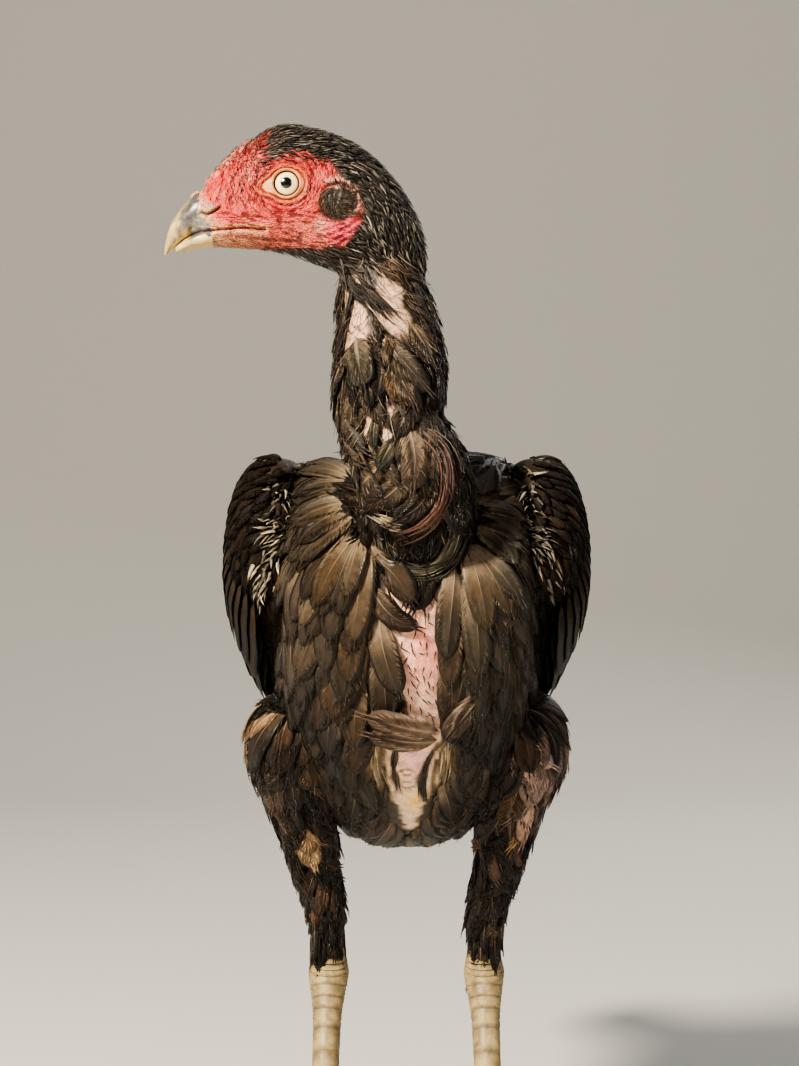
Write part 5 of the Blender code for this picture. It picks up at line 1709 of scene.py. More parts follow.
def neck_feathers(look, wisp_look):
    """Wet, ragged feathers, hair-like on the upper neck and broader and silky over its foot."""
    rng = np.random.default_rng(12)
    chosen = (labels == "neck") & (skin.centres[:, 2] > NECK_FROM_Z)
    centres, normals = skin.centres[chosen], skin.face_normals[chosen]
    high = smooth(0.352, 0.368, centres[:, 2])
    kept = scattered(centres, 0.0056 - 0.0023 * high, rng)
    roots, normals, high = centres[kept], normals[kept], high[kept]
    bare = patch_bareness(roots + (0, 0, -0.004), BARE_NECK) > rng.uniform(0.20, 1.05, len(roots))
    near, _ = path_distance(roots[:, 0], roots[:, 2], NECK_RING)
    bare |= (near < 0.006) & (roots[:, 1] < -0.055)
    roots, normals, high = roots[~bare], normals[~bare], high[~bare]
    count = len(roots)
    lengths = (0.0240 - 0.0075 * high) * rng.uniform(0.80, 1.20, count)
    half = (0.0052 - 0.0028 * high) * rng.uniform(0.80, 1.20, count)
    sweep = 0.35 * high * smooth(0.0, 0.7, -normals[:, 1])
    way = turned(along_skin(neck_way(roots), normals), normals, sweep + rng.normal(0, 0.15, count))
    rise = 0.0036 * rng.uniform(0.6, 1.1, count)
    bend = rng.normal(0, 0.4, count)
    lines, line_normals = laid(roots, way, lengths, rise, shares(11, 1.1), bend=bend)
    base = mixed(np.array(NECK_LOW), np.array(NECK_HIGH), high)
    # Painted shade: feathers on the hen's left of the neck, away from the key lamp, are darkened by about
    # half.
    lit = 1 - 0.55 * smooth(0.000, 0.010, roots[:, 0])
    low_dark = 1 - 0.62 * smooth(0.326, 0.312, roots[:, 2])
    tints = shades(rng, count, base * (lit * low_dark)[:, None], 0.36, 0.09)
    crossing = np.maximum(*(patch_bareness(lines[:, k], BARE_NECK) for k in (4, 8)))
    clear = crossing < rng.uniform(0.15, 1.25, count)
    uv = round_unwrap(roots, *NECK_AXIS)
    rolls = rng.normal(0, 0.15, count)
    low_set, high_set = clear & (high < 0.5), clear & (high >= 0.5)
    coat = Coat()
    soft_feathers(
        coat, lines[low_set], line_normals[low_set], half[low_set], broad, tints[low_set], uv[low_set], rng,
        camber=0.18, jag=0.0, roll=rolls[low_set], pale=0.30, root=TAN_ROOT, edge=0.15, tip=0.40,
        number=38, over=(0.95, 1.22), slant=2.0, width=0.00024, above=0.00025, start=0.1, spread=0.24,
    )
    coat.build("feathers_bulge", look, "plumage")
    ahead = roots[:, 1] < NAPE_FROM_Y
    for word, take in (("front", high_set & ahead), ("nape", high_set & ~ahead)):
        coat = Coat()
        open_feathers(
            coat, lines[take], line_normals[take], half[take], lance, tints[take], uv[take], rng,
            camber=0.20, roll=rolls[take], pale=0.30, number=15, rings=2, over=(0.7, 1.5), slant=3.0,
            width=0.00028, above=0.00055, edge=0.1, tip=0.2, spread=0.28,
        )
        coat.build("feathers_neck_" + word, look, "plumage")
    above = centres[:, 2] > WISP_SPLIT_Z
    for (word, spacing, seed), take in zip(NECK_WISPS, (above, ~above)):
        wisps("wisps_neck_" + word, centres[take], spacing, wisp_look, seed)


def wisps(name, centres, spacing, look, seed):
    """Hair-like strands among the feathers, some of them pale."""
    rng = np.random.default_rng(seed)
    kept = scattered(centres, spacing, rng)
    kept = kept[keel_bareness(centres[kept]) < 0.3]
    roots = centres[kept]
    count = len(roots)
    _, normals = skin.nearest(roots)
    thin_out = patch_bareness(roots, BARE_NECK) < rng.uniform(0.3, 1.6, count)
    roots, normals, count = roots[thin_out], normals[thin_out], thin_out.sum()
    sweep = 0.35 * smooth(0.325, 0.350, roots[:, 2]) * smooth(0.0, 0.7, -normals[:, 1])
    way = turned(along_skin(neck_way(roots), normals), normals, sweep + rng.normal(0, 0.28, count))
    lengths = WISP_LENGTH * rng.uniform(0.6, 1.4, count)
    rises = WISP_RISE * rng.uniform(0.5, 1.2, count)
    lines, line_normals = laid(roots, way, lengths, rises, shares(7), bend=rng.normal(0, 1.0, count))
    tints = shades(rng, count, WISP_DARK, 0.5, 0.08)
    pale = rng.random(count) < WISP_PALE_SHARE
    tints[pale] = shades(rng, pale.sum(), WISP_PALE, 0.3, 0.05)
    coat = Coat()
    uv = round_unwrap(roots, centres.min(axis=0), centres.max(axis=0))
    half = 0.00017 * rng.uniform(0.7, 1.3, count)
    blades(
        coat, lines, line_normals, half, lance, SLIGHT, tints, uv, rng,
        camber=0.5, jag=0.0, pale=0.0, thick=0.0001,
    )
    coat.build(name, look, "plumage")


def thigh_feathers(side, word, look):
    """Glossy dark feathers down the drumstick and over the hock, brown, tan or worn in places."""
    rng = np.random.default_rng(13 + side)
    roots, normals = sown(labels == "thigh_" + word, 0.0046, rng)
    bare = patch_bareness(roots + (0, 0, -0.004), BARE_THIGH) > rng.uniform(0.3, 2.2, len(roots))
    bare |= normals[:, 2] < -0.75
    roots, normals = roots[~bare], normals[~bare]
    count = len(roots)
    low = smooth(0.165, 0.125, roots[:, 2])
    rows = refined(THIGH, 60)
    way = unit(np.gradient(rows[:, :3] * (side, 1, 1), axis=0))[::-1]
    way = np.stack([np.interp(roots[:, 2], rows[::-1, 2], way[:, k]) for k in range(3)], -1)
    way = turned(along_skin(way, normals), normals, rng.normal(0, 0.16, count))
    lengths = (0.0225 - 0.0040 * low) * rng.uniform(0.8, 1.2, count)
    half = (0.0044 - 0.0013 * low) * rng.uniform(0.8, 1.2, count)
    rise = (0.0040 - 0.0008 * low) * rng.uniform(0.75, 1.05, count)
    steps = shares(11, 1.1)
    lines, line_normals = laid(roots, way, lengths, rise, steps, bend=rng.normal(0, 0.35, count))
    down = unit(HOCK * (side, 1, 1) - THIGH_FOOT * (side, 1, 1))
    beside = unit(normals - np.outer(normals @ down, down))
    over_rise = (rise * 0.45)[:, None] * steps**0.6
    drop = down * (lengths[:, None] * steps)[..., None]
    hanging = roots[:, None] + drop + beside[:, None] * over_rise[..., None]
    hem = smooth(HEM_FROM_Z, HEM_TO_Z, roots[:, 2])[:, None, None]
    lines = lines + (hanging - lines) * hem
    line_normals = unit(line_normals + (beside[:, None] - line_normals) * hem)
    tints = shades(rng, count, THIGH_DARK, 0.34, 0.07)
    brown = (rng.random(count) < 0.26)[:, None]
    tints = np.where(brown, shades(rng, count, THIGH_BROWN, 0.30, 0.06), tints)
    tan = patch_bareness(lines[:, -4], TAN_THIGH) * (rng.random(count) < 0.8)
    tints = mixed(tints, shades(rng, count, THIGH_TAN, 0.25, 0.05), tan)
    patchy = patch_bareness(lines[:, -4], BARE_THIGH) * (rng.random(count) < 0.8)
    tints = mixed(tints, shades(rng, count, THIGH_WORN, 0.3, 0.05), patchy)
    uv = round_unwrap(roots, (0.042 * side, 0.0, 0.21), (0.034 * side, 0.05, 0.10))
    coat = Coat()
    soft_feathers(
        coat, lines, line_normals, half, broad, tints, uv, rng, camber=0.20, jag=0.0,
        roll=rng.normal(0, 0.14, count), pale=0.12, tip=0.35, edge=0.2, number=18,
        over=(0.95, 1.25), slant=2.4, width=0.00026, above=0.00025, start=0.15,
    )
    coat.build("feathers_thigh_" + word, look, "plumage")


# Wing feathers lie on rays from the lower to the upper edge, one under another in tiers:
# rays, where they root, tip of the lowest and of the highest, half width, depth, sink, rows,
# how far up the wing the rays reach
WING_TIERS = (
    (13, 0.052, 0.178, 0.144, 0.0058, 0.0038, 0.0050, 30, 1.0),
    (13, 0.033, 0.112, 0.098, 0.0055, 0.0022, 0.0045, 22, 1.0),
    (13, 0.016, 0.074, 0.064, 0.0052, 0.0008, 0.0040, 18, 0.86),
)
PRIMARY_COUNT, PRIMARY_ROOT, PRIMARY_HALF, PRIMARY_ROWS = 8, 0.084, 0.0048, 34
PRIMARY_SHARES, PRIMARY_TIPS, PRIMARY_DEPTHS = (0.50, 0.08), (0.193, 0.2235), (0.0058, 0.0108)
# How far the tiers' feathers and the primaries are rolled over
TIER_ROLL, PRIMARY_ROLL = 0.17, 0.05


def wing_quills(side, word, look):
    """The folded flight feathers and their coverts, tier over tier."""
    rng = np.random.default_rng(23 + side)
    coat = Coat()
    tiers = []
    for rays, root, low_tip, high_tip, half, depth, sink, rows, reach in WING_TIERS:
        k = np.arange(rays)
        share = (k + 0.5) / rays * reach
        tips = low_tip + (high_tip - low_tip) * share + rng.normal(0, 0.0012, rays)
        depths = np.full(rays, depth)
        tiers.append((share, np.full(rays, root), tips, half, depths, sink, rows, TIER_ROLL))
    k = np.linspace(0, 1, PRIMARY_COUNT)
    spans = (PRIMARY_SHARES, PRIMARY_TIPS, PRIMARY_DEPTHS)
    share, tips, depths = (first + (last - first) * k for first, last in spans)
    roots = np.full(PRIMARY_COUNT, PRIMARY_ROOT)
    tiers.append((share, roots, tips, PRIMARY_HALF, depths, 0.002, PRIMARY_ROWS, PRIMARY_ROLL))
    for share, roots, tips, half, depths, sink, rows, lean in tiers:
        t = shares(rows, 1.1)
        count = len(share)
        along = roots[:, None] + (tips - roots)[:, None] * t
        shares_here = np.broadcast_to(share[:, None], along.shape)
        out = wing_outward(side, along, shares_here)
        dip = depths[:, None] + sink * np.maximum(0, 1 - t / 0.3) ** 2
        lines = wing_surface(side, along, shares_here) - out * dip[..., None]
        half = half * (1 - 0.60 * smooth(0.80, 0.97, share))
        tints = shades(rng, count, QUILL_DARK, 0.2, 0.08)
        uv = np.stack([0.1 + 0.8 * share, 0.1 + 0.8 * roots / 0.1], -1)
        blades(
            coat, lines, out, half * rng.uniform(0.95, 1.05, count), quill, RIBBED, tints, uv, rng,
            camber=0.13, jag=0.07, roll=side * lean + rng.normal(0, 0.02, count), pale=0.10, sweep=0.8,
        )
    coat.build("quills_" + word, look, "plumage", "wing_" + word)


# Streaks of painted highlight on the hen's left and right wing, as glints on wet feather edges, brighter on
# the right, which faces the key lamp: height of their middle, and colour
GLINT_STREAKS = {1: (0.2960, (0.18, 0.15, 0.12)), -1: (0.2880, (0.32, 0.27, 0.20))}
# The wing's feathers end below its inner top edge, which the back's feathers cover
INNER_X, INNER_Z = 0.0500, 0.314


def wing_unwrap(roots, side):
    return round_unwrap(roots, (0.06 * side, -0.06, 0.30), (0.06 * side, 0.06, 0.24))


def wing_coverts(side, word, look):
    """Small close feathers over the shoulder of the wing, and pale streaks of painted highlight down its
    front.
    """
    rng = np.random.default_rng(33 + side)
    chosen = (labels == "wing_" + word) & (skin.face_normals[:, 0] * side > -0.7)
    centres, normals = skin.centres[chosen], skin.face_normals[chosen]
    ahead, above = centres[:, 1] - WING_WRIST.y, centres[:, 2] - WING_WRIST.z
    along = ahead * math.cos(WING_SLOPE) - above * math.sin(WING_SLOPE)
    up = ahead * math.sin(WING_SLOPE) + above * math.cos(WING_SLOPE)
    low_edge, high_edge = wing_row(along)[:2]
    level = (up - low_edge) / (high_edge - low_edge)
    near = along < 0.064 + 0.060 * smooth(0.45, 0.12, level)
    near &= (np.abs(centres[:, 0]) > INNER_X) | (centres[:, 2] < INNER_Z)
    centres, normals, along = centres[near], normals[near], along[near]
    kept = scattered(centres, 0.0030 + 0.0018 * smooth(0.0, 0.04, along), rng)
    roots, root_normals, along = centres[kept], normals[kept], along[kept]
    count = len(roots)
    far = smooth(0.0, 0.045, along)
    edge = smooth(0.2, 0.7, root_normals[:, 2])
    way = turned(shoulder_way(roots, root_normals, side), root_normals, rng.normal(0, 0.08, count))
    lengths = (0.0110 + 0.0080 * far) * rng.uniform(0.85, 1.15, count)
    half = (0.0026 + 0.0022 * far) * (1 - 0.30 * edge) * rng.uniform(0.85, 1.15, count)
    rise = (0.0042 - 0.0010 * edge) * rng.uniform(0.85, 1.02, count)
    lines, line_normals = laid(roots, way, lengths, rise, shares(10, 1.1), lift=0.40)
    tints = shades(rng, count, COVERT_DARK, 0.30, 0.08)
    uv = wing_unwrap(roots, side)
    coat = Coat()
    soft_feathers(
        coat, lines, line_normals, half, broad, tints, uv, rng, camber=0.42, jag=0.0,
        roll=rng.normal(0, 0.05, count), pale=0.06, edge=0.2, number=11, width=0.00026, slant=1.8,
        over=(0.94, 1.06), above=0.00006,
    )
    coat.build("coverts_" + word, look, "plumage")
    streaked = -centres[:, 1] > 0.02
    painted_glint_streaks(side, word, look, centres[streaked], normals[streaked], rng)


def painted_glint_streaks(side, word, look, centres, normals, rng):
    """Short pale wisps down the front of the wing's shoulder, over its coverts, as painted highlights: glints
    on wet feather edges.
    """
    middle, tint = GLINT_STREAKS[side]
    kept = scattered(centres, 0.0012, rng)
    roots, root_normals = centres[kept], normals[kept]
    across = np.abs(roots[:, 0]) - 0.0525 + 0.25 * (roots[:, 2] - 0.2850)
    # Painted highlight: a patchy band down the shoulder's front, where the glints fall.
    patchy = hump(np.hypot(across / 0.0050, (roots[:, 2] - middle) / 0.020), 0, 1)
    patchy = patchy * (0.55 + 0.75 * lumps(roots, 0.0045, 49))
    picked = (rng.random(len(roots)) < 1.5 * patchy - 0.10) & (roots[:, 2] < INNER_Z)
    roots, root_normals = roots[picked], root_normals[picked]
    count = len(roots)
    way = turned(shoulder_way(roots, root_normals, side), root_normals, rng.normal(0, 0.30, count))
    lengths = 0.0044 * rng.uniform(0.5, 1.6, count)
    rise = 0.0056 * rng.uniform(0.9, 1.05, count)
    lines, line_normals = laid(roots, way, lengths, rise, shares(7), lift=0.3)
    lines += line_normals * 0.0006
    tints = shades(rng, count, tint, 0.60, 0.04)
    uv = wing_unwrap(roots, side)
    coat = Coat()
    half = 0.00065 * rng.uniform(0.4, 1.7, count)
    blades(
        coat, lines, line_normals, half, lance, SLIGHT, tints, uv, rng,
        camber=0.4, jag=0.0, pale=0.0, thick=0.00015, edge=0.1, tip=0.2,
    )
    coat.build("glint_streaks_" + word, look, "plumage")


def shoulder_way(points, normals, side):
    """Back along the wing on its outer side, and down and out over its front edge."""
    ahead = smooth(0.1, 0.8, -normals[:, 1])
    top = smooth(0.2, 0.6, normals[:, 2]) * smooth(-0.015, -0.035, points[:, 1])
    out = side * (0.35 * ahead + 1.5 * top)
    way = np.stack([out, 0.95 * (1 - ahead) * (1 - 0.8 * top), -0.45 - 0.9 * ahead], -1)
    return along_skin(way, normals)


# Tail: its half width in spacings, and its tiers: root, tip in the middle, how much shorter at the
# side, half width, depth, pairs, rows
TAIL_WIDTH = 5.2
TAIL_TIERS = (
    (0.034, 0.1430, 0.012, 0.0074, 0.0030, 7, 30),
    (0.022, 0.1080, 0.018, 0.0072, 0.0016, 6, 24),
    (0.008, 0.0800, 0.018, 0.0070, 0.0004, 6, 20),
)


def tail_feathers(look):
    rng = np.random.default_rng(27)
    coat = Coat()
    for root, tip, shorter, half, depth, pairs, rows in TAIL_TIERS:
        t = shares(rows, 1.1)
        rank = np.concatenate([np.zeros(1), np.repeat(np.arange(1, pairs + 1), 2)])
        side = np.concatenate([np.zeros(1), np.tile([1.0, -1.0], pairs)])
        across = side * rank * TAIL_SPACING * TAIL_WIDTH / pairs
        tips = tip - shorter * (rank / pairs) ** 1.5 + rng.normal(0, 0.001, len(rank))
        along = root + (tips - root)[:, None] * t
        spread = np.broadcast_to(across[:, None], along.shape)
        depths = depth + 0.00035 * rank[:, None] + 0.006 * np.maximum(0, 1 - t / 0.3) ** 2
        lines = tail_point(along, spread, depths)
        out = unit(lines - tail_point(along, spread, depths + 0.002))
        tints = shades(rng, len(rank), TAIL_DARK, 0.2, 0.08)
        uv = np.stack([0.5 + across / 0.08, 0.1 + np.full(len(rank), root) * 10], -1)
        blades(
            coat, lines, out, half * rng.uniform(0.95, 1.05, len(rank)), quill, RIBBED, tints, uv, rng,
            camber=0.12, jag=0.08, roll=side * 0.16, pale=0.10, sweep=0.8,
        )
    coat.build("tail_feathers", look, "plumage", "tail")


def tail_fluff(look):
    """Soft feathers round the root of the tail and under it."""
    rng = np.random.default_rng(28)
    chosen = (labels == "tail") | ((labels == "trunk") & (skin.centres[:, 1] > 0.085))
    roots, normals = sown(chosen, 0.0052, rng)
    count = len(roots)
    way = np.broadcast_to(np.array((0.0, 1.0, -0.42)), (count, 3))
    way = turned(along_skin(way, normals), normals, rng.normal(0, 0.15, count))
    lengths = 0.024 * rng.uniform(0.8, 1.2, count)
    rise = 0.0045 * rng.uniform(0.8, 1.1, count)
    lines, line_normals = laid(roots, way, lengths, rise, shares(11, 1.1))
    uv = round_unwrap(roots, (0, 0.08, 0.21), (0, 0.17, 0.18))
    tints = shades(rng, count, RUMP_DARK, 0.25, 0.08)
    coat = Coat()
    blades(
        coat, lines, line_normals, 0.0052, broad, RIBBED, tints, uv, rng,
        camber=0.18, jag=0.2, roll=rng.normal(0, 0.1, count), pale=0.2,
    )
    coat.build("feathers_rump", look, "plumage")


def head_way(points):
    """Back over the crown, down the nape, and back and down along the throat."""
    x, _, z = points.T
    over = smooth(-0.040, 0.004, x)
    low = smooth(0.412, 0.400, z) * smooth(-0.02, -0.05, x)
    way = np.stack([1 - 0.75 * over, np.zeros(len(x)), -0.05 - 1.1 * over - 0.25 * low], -1)
    return unit(way)


def face_share(points):
    return inside_outline(points[:, 0], points[:, 2], BARE_FACE, 0.0012)


def face_depth(points):
    """How far inside the bare face's border points lie, in mm."""
    x, z = points[:, 0], points[:, 2]
    inside = inside_outline(x, z, BARE_FACE, 0.00001) > 0.5
    distance, _ = path_distance(x, z, list(BARE_FACE) + [BARE_FACE[0]])
    return np.where(inside, distance, -distance) / MM


def crown_feathers(look):
    """Very fine feathers close over the crown, the nape and the throat, some of them pale grey as painted
    highlights.
    """
    rng = np.random.default_rng(14)
    chosen = (labels == "head") & (skin.centres[:, 2] > 0.388)
    centres, normals = skin.centres[chosen], skin.face_normals[chosen]
    depth = face_depth(centres) + 1.1 * lumps(centres, 0.0022, 44)
    above = smooth(0.428, 0.434, centres[:, 2]) * smooth(-0.018, -0.026, centres[:, 0])
    forward = smooth(0.4270, 0.4310, centres[:, 2]) * smooth(-0.0520, -0.0560, centres[:, 0])
    reach = 0.8 + 3.4 * above + 6.5 * forward
    hidden = (depth < reach) & (centres[:, 0] > -0.078)
    centres, normals, depth, reach = centres[hidden], normals[hidden], depth[hidden], reach[hidden]
    kept = scattered(centres, 0.00108 + 0.0005 * smooth(0.420, 0.400, centres[:, 2]), rng)
    thin = np.clip(depth[kept] / reach[kept], 0, 1) < rng.uniform(0.0, 1.0, len(kept)) ** 0.7
    kept = kept[thin]
    roots, normals, depth = centres[kept], normals[kept], depth[kept]
    count = len(roots)
    back = smooth(-0.065, -0.005, roots[:, 0])
    inner = np.clip(depth / 2.0, 0, 1)
    lengths = (0.0038 + 0.0032 * back) * rng.uniform(0.7, 1.35, count) * (1 - 0.30 * inner)
    half = (0.00036 + 0.00030 * back) * rng.uniform(0.7, 1.3, count) * (1 - 0.45 * inner)
    way = turned(along_skin(head_way(roots), normals), normals, rng.normal(0, 0.17, count))
    rise = (0.0009 + 0.0010 * back) * rng.uniform(0.6, 1.3, count)
    bend = rng.normal(0, 0.4, count)
    lines, line_normals = laid(roots, way, lengths, rise, shares(6), bend=bend, sink=0.0003)
    tints = shades(rng, count, CROWN_DARK, 0.45, 0.06)
    # Painted highlight: about a quarter of the feathers, fewer at the bare face's border, get a pale grey
    # glint colour and are narrower.
    glinting = rng.random(count) < 0.24 * (1 - 0.7 * inner)
    tints[glinting] = shades(rng, glinting.sum(), CROWN_GLINT, 0.40, 0.04)
    half[glinting] *= 0.7
    uv = round_unwrap(roots, *HEAD_AXIS)
    ahead = roots[:, 0] < CROWN_FRONT_X
    for word, take in (("front", ahead), ("nape", ~ahead)):
        coat = Coat()
        blades(
            coat, lines[take], line_normals[take], half[take], lance, SLIGHT, tints[take], uv[take], rng,
            camber=0.35, jag=0.15, pale=0.10, thick=0.00012,
        )
        coat.build("feathers_crown_" + word, look, "plumage")


def face_way(points):
    """The way that the face's folds run: round the eye, upright before it, back along the jaw."""
    dx, dz = (points[:, 0] - EYE_X) / MM, (points[:, 2] - EYE_Z) / MM
    ring = np.stack([dz, -dx], -1) / np.maximum(np.hypot(dx, dz), 1e-6)[:, None]
    ring *= np.sign(ring[:, :1] + 1e-9)
    before, low = (region[:, None] for region in fold_regions(dx, dz))
    way = ring * (1 - before) + np.array((0.25, -1.0)) * before
    way = way * (1 - low) + np.array((1.0, -0.16)) * low
    return np.stack([way[:, 0], np.zeros(len(dx)), way[:, 1]], -1)


# Rings of a pebble: height and size
PEBBLE_RINGS = ((-0.25, 1.0), (0.45, 0.86), (0.85, 0.50))
# The pebbles' pale tops are partly their own pale pink and partly painted highlight.
PEBBLE_PALE_AND_HIGHLIGHT = (0.84, 0.38, 0.27)


def papilla_form():
    """Points of a low lengthwise bump (along, across, out) and its faces."""
    rings = []
    for level, size in PEBBLE_RINGS:
        for k in range(6):
            a = 2 * math.pi * k / 6
            rings.append((math.cos(a) * size, math.sin(a) * size, level))
    points = np.array(rings + [(0, 0, 1.0), (0, 0, -0.3)])
    faces = []
    for r in range(2):
        for k in range(6):
            near, far, nxt = r * 6, (r + 1) * 6, (k + 1) % 6
            faces += [(near + k, near + nxt, far + nxt), (near + k, far + nxt, far + k)]
    for k in range(6):
        faces += [(12 + k, 12 + (k + 1) % 6, 18), ((k + 1) % 6, k, 19)]
    return points, np.array(faces)


def face_papillae(look):
    """The red skin's fine pebbles, paler on top, partly their own pale pink and partly painted highlight,
    drawn out along the folds.
    """
    rng = np.random.default_rng(15)
    head = (labels == "head") | (skin.centres[:, 2] > THROAT_Z)
    centres = skin.centres[head]
    _, q = eye_rings(centres[:, 0], centres[:, 2])
    ear = ear_distance(centres[:, 0], centres[:, 2])
    near, _ = path_distance(centres[:, 0], centres[:, 2], MOUTH)
    slit, _ = path_distance(centres[:, 0], centres[:, 2], NOSTRIL)
    keep = (face_share(centres) > 0.5) & (q > 6.9) & (ear > 7.2) & (near > 0.0008) & (slit > 0.0008)
    keep &= (horn_border(centres) > 0.0004) & (face_streaks(centres) < 0.45)
    roots, normals = sown(np.flatnonzero(head)[keep], 0.00075, rng)
    count = len(roots)
    way = turned(along_skin(face_way(roots), normals), normals, rng.normal(0, 0.25, count))
    side = np.cross(normals, way)
    form, faces = papilla_form()
    length, width = 0.00062 * rng.uniform(0.7, 1.6, count), 0.00028 * rng.uniform(0.8, 1.2, count)
    height = 0.00024 * rng.uniform(0.6, 1.3, count)
    points = roots[:, None]
    for k, (axis, size) in enumerate(((way, length), (side, width), (normals, height))):
        points = points + axis[:, None] * (form[None, :, k] * size[:, None])[..., None]
    base = face_colours(roots) * rng.uniform(0.50, 1.06, count)[:, None]
    # Partly painted highlight: each pebble is mixed towards pale by its height, more on some pebbles than on
    # others.
    pale = 0.55 + 0.45 * lumps(roots, 0.005, 46)
    lit = (rng.uniform(0.0, 1.0, count) ** 1.3 * np.clip(pale, 0.15, 1))[:, None]
    light = np.clip(0.05 + 0.95 * form[:, 2], 0, 1)[None, :] * lit
    tints = mixed(base[:, None, :], np.array(PEBBLE_PALE_AND_HIGHLIGHT), np.clip(light, 0, 0.56))
    vanes = np.zeros_like(points)
    uv = round_unwrap(roots, *HEAD_AXIS)
    uv = uv[:, None] + form[None, :, :2] * 0.5 * TUFT_PATCH
    coat = Coat()
    coat.add(points, faces, tints, vanes, uv)
    coat.build("face_papillae", look, "face")


def ear_way(points):
    """Round and out across the ear, in a whorl."""
    dx, dz = (points[:, 0] - EAR_TUFT[0]) / EAR_RADIUS, (points[:, 2] - EAR_TUFT[1]) / EAR_RADIUS
    return np.stack([0.45 + 0.6 * dx - 0.9 * dz, np.zeros(len(dx)), -0.25 + 0.6 * dz + 0.9 * dx], -1)


def keel_way(points):
    return np.broadcast_to(np.array((0.38, 0.0, -1.0)), points.shape)


BRISTLE_DARK, BRISTLE_RED = (0.034, 0.018, 0.015), (0.050, 0.012, 0.010)
TUFT_BROWN, KEEL_DARK = (0.085, 0.064, 0.042), (0.028, 0.020, 0.015)
# Bristles: seed, spacing, way, length, half width, height over the skin, colour, how far their
# ways and their colours wander
BRISTLES = {
    "hair_brow": (41, 0.00105, face_way, 0.0027, 0.00012, 0.0005, BRISTLE_DARK, 0.25, 0.3),
    "hair_jaw": (42, 0.00135, face_way, 0.0024, 0.00010, 0.0004, BRISTLE_DARK, 0.25, 0.3),
    "hair_face": (43, 0.00150, face_way, 0.0017, 0.00008, 0.0003, BRISTLE_RED, 0.25, 0.3),
    "hair_ear": (44, 0.00056, ear_way, 0.0050, 0.00012, 0.0016, TUFT_BROWN, 0.35, 0.60),
    "hair_keel": (45, 0.0030, keel_way, 0.0042, 0.00024, 0.0012, KEEL_DARK, 0.50, 0.5),
    "hair_keel_top": (46, 0.0036, keel_way, 0.0100, 0.00032, 0.0016, KEEL_DARK, 0.35, 0.5),
}


def bristles(name, chosen, look):
    """Short stiff hairs over chosen faces of the skin."""
    seed, spacing, way, length, half, rise, tint, wander, spread = BRISTLES[name]
    rng = np.random.default_rng(seed)
    roots, normals = sown(chosen, spacing, rng)
    count = len(roots)
    ways = turned(along_skin(way(roots), normals), normals, rng.normal(0, wander, count))
    lengths = length * rng.uniform(0.6, 1.4, count)
    rises = rise * rng.uniform(0.5, 1.5, count)
    bend = rng.normal(0, 0.5, count)
    lines, line_normals = laid(roots, ways, lengths, rises, shares(6), sink=0.0002, bend=bend)
    tints = shades(rng, count, tint, spread, 0.06)
    coat = Coat()
    blades(
        coat, lines, line_normals, half, lance, SLIGHT, tints, round_unwrap(roots, *HEAD_AXIS), rng,
        camber=0.5, jag=0.0, pale=0.0, thick=half * 0.6, edge=0.1, tip=0.0,
    )
    coat.build(name, look, "plumage")


def face_hair(look):
    """Bristles over brow, jaw and cheek, the ear's tuft and the bristles of the bare breast bone."""
    x, y, z = skin.centres.T
    share = face_share(skin.centres)
    _, q = eye_rings(x, z)
    high = z > THROAT_Z
    ear = ear_distance(x, z)
    edge = high & (share > 0.4) & (q > 7.6) & (ear > 7) & (x > -0.079)
    brow = edge & (z > 0.4330) | edge & (x < -0.0545) & (x > -0.0690) & (z > 0.4190)
    jaw = edge & (z < 0.4085)
    keel = (keel_bareness(skin.centres) > 0.3) & (y < 0.02) & (z > 0.209)
    bristles("hair_brow", brow, look)
    bristles("hair_jaw", jaw, look)
    bristles("hair_face", edge & ~brow & ~jaw & (x > -0.072), look)
    bristles("hair_ear", high & (ear < 7.0), look)
    bristles("hair_keel", keel & (z < 0.264), look)
    bristles("hair_keel_top", keel & (z >= 0.264), look)


# Eyes, bill, legs and claws

PUPIL, IRIS = 0.00220, 0.00465
CORNEA_RADIUS, CORNEA_HEIGHT = 0.0046, 0.00045
PEARL, PEARL_PALE, IRIS_INNER = (0.84, 0.72, 0.40), (0.93, 0.85, 0.60), (0.62, 0.44, 0.16)
IRIS_RIM, PUPIL_BLACK = (0.05, 0.025, 0.015), (0.004, 0.004, 0.004)


def eye_look():
    look, tree, shader = new_look("eye")
    radius, turn, _ = vane_node(tree)
    rays = math_node(tree, "SINE", math_node(tree, "MULTIPLY", turn, 46.0))
    flecks = noise_node(tree, 1900.0, 2.0)
    pearl = colour_mix(tree, PEARL, PEARL_PALE, span_node(tree, flecks, 0.35, 0.65))
    pearl = scaled_colour(tree, pearl, span_node(tree, rays, -1.0, 1.0, 0.93, 1.03))
    inner = span_node(tree, radius, PUPIL, PUPIL * 1.35, 0.75, 0.0)
    iris = colour_mix(tree, pearl, IRIS_INNER, inner)
    rim = span_node(tree, radius, IRIS * 0.88, IRIS * 0.98)
    iris = colour_mix(tree, iris, IRIS_RIM, rim)
    pupil = span_node(tree, radius, PUPIL * 0.95, PUPIL * 1.03, 1.0, 0.0)
    colour = colour_mix(tree, iris, PUPIL_BLACK, pupil)
    tree.links.new(colour, shader.inputs["Base Color"])
    set_inputs(shader, Roughness=0.22, Coat_Weight=1.0, Coat_Roughness=0.03)
    return look


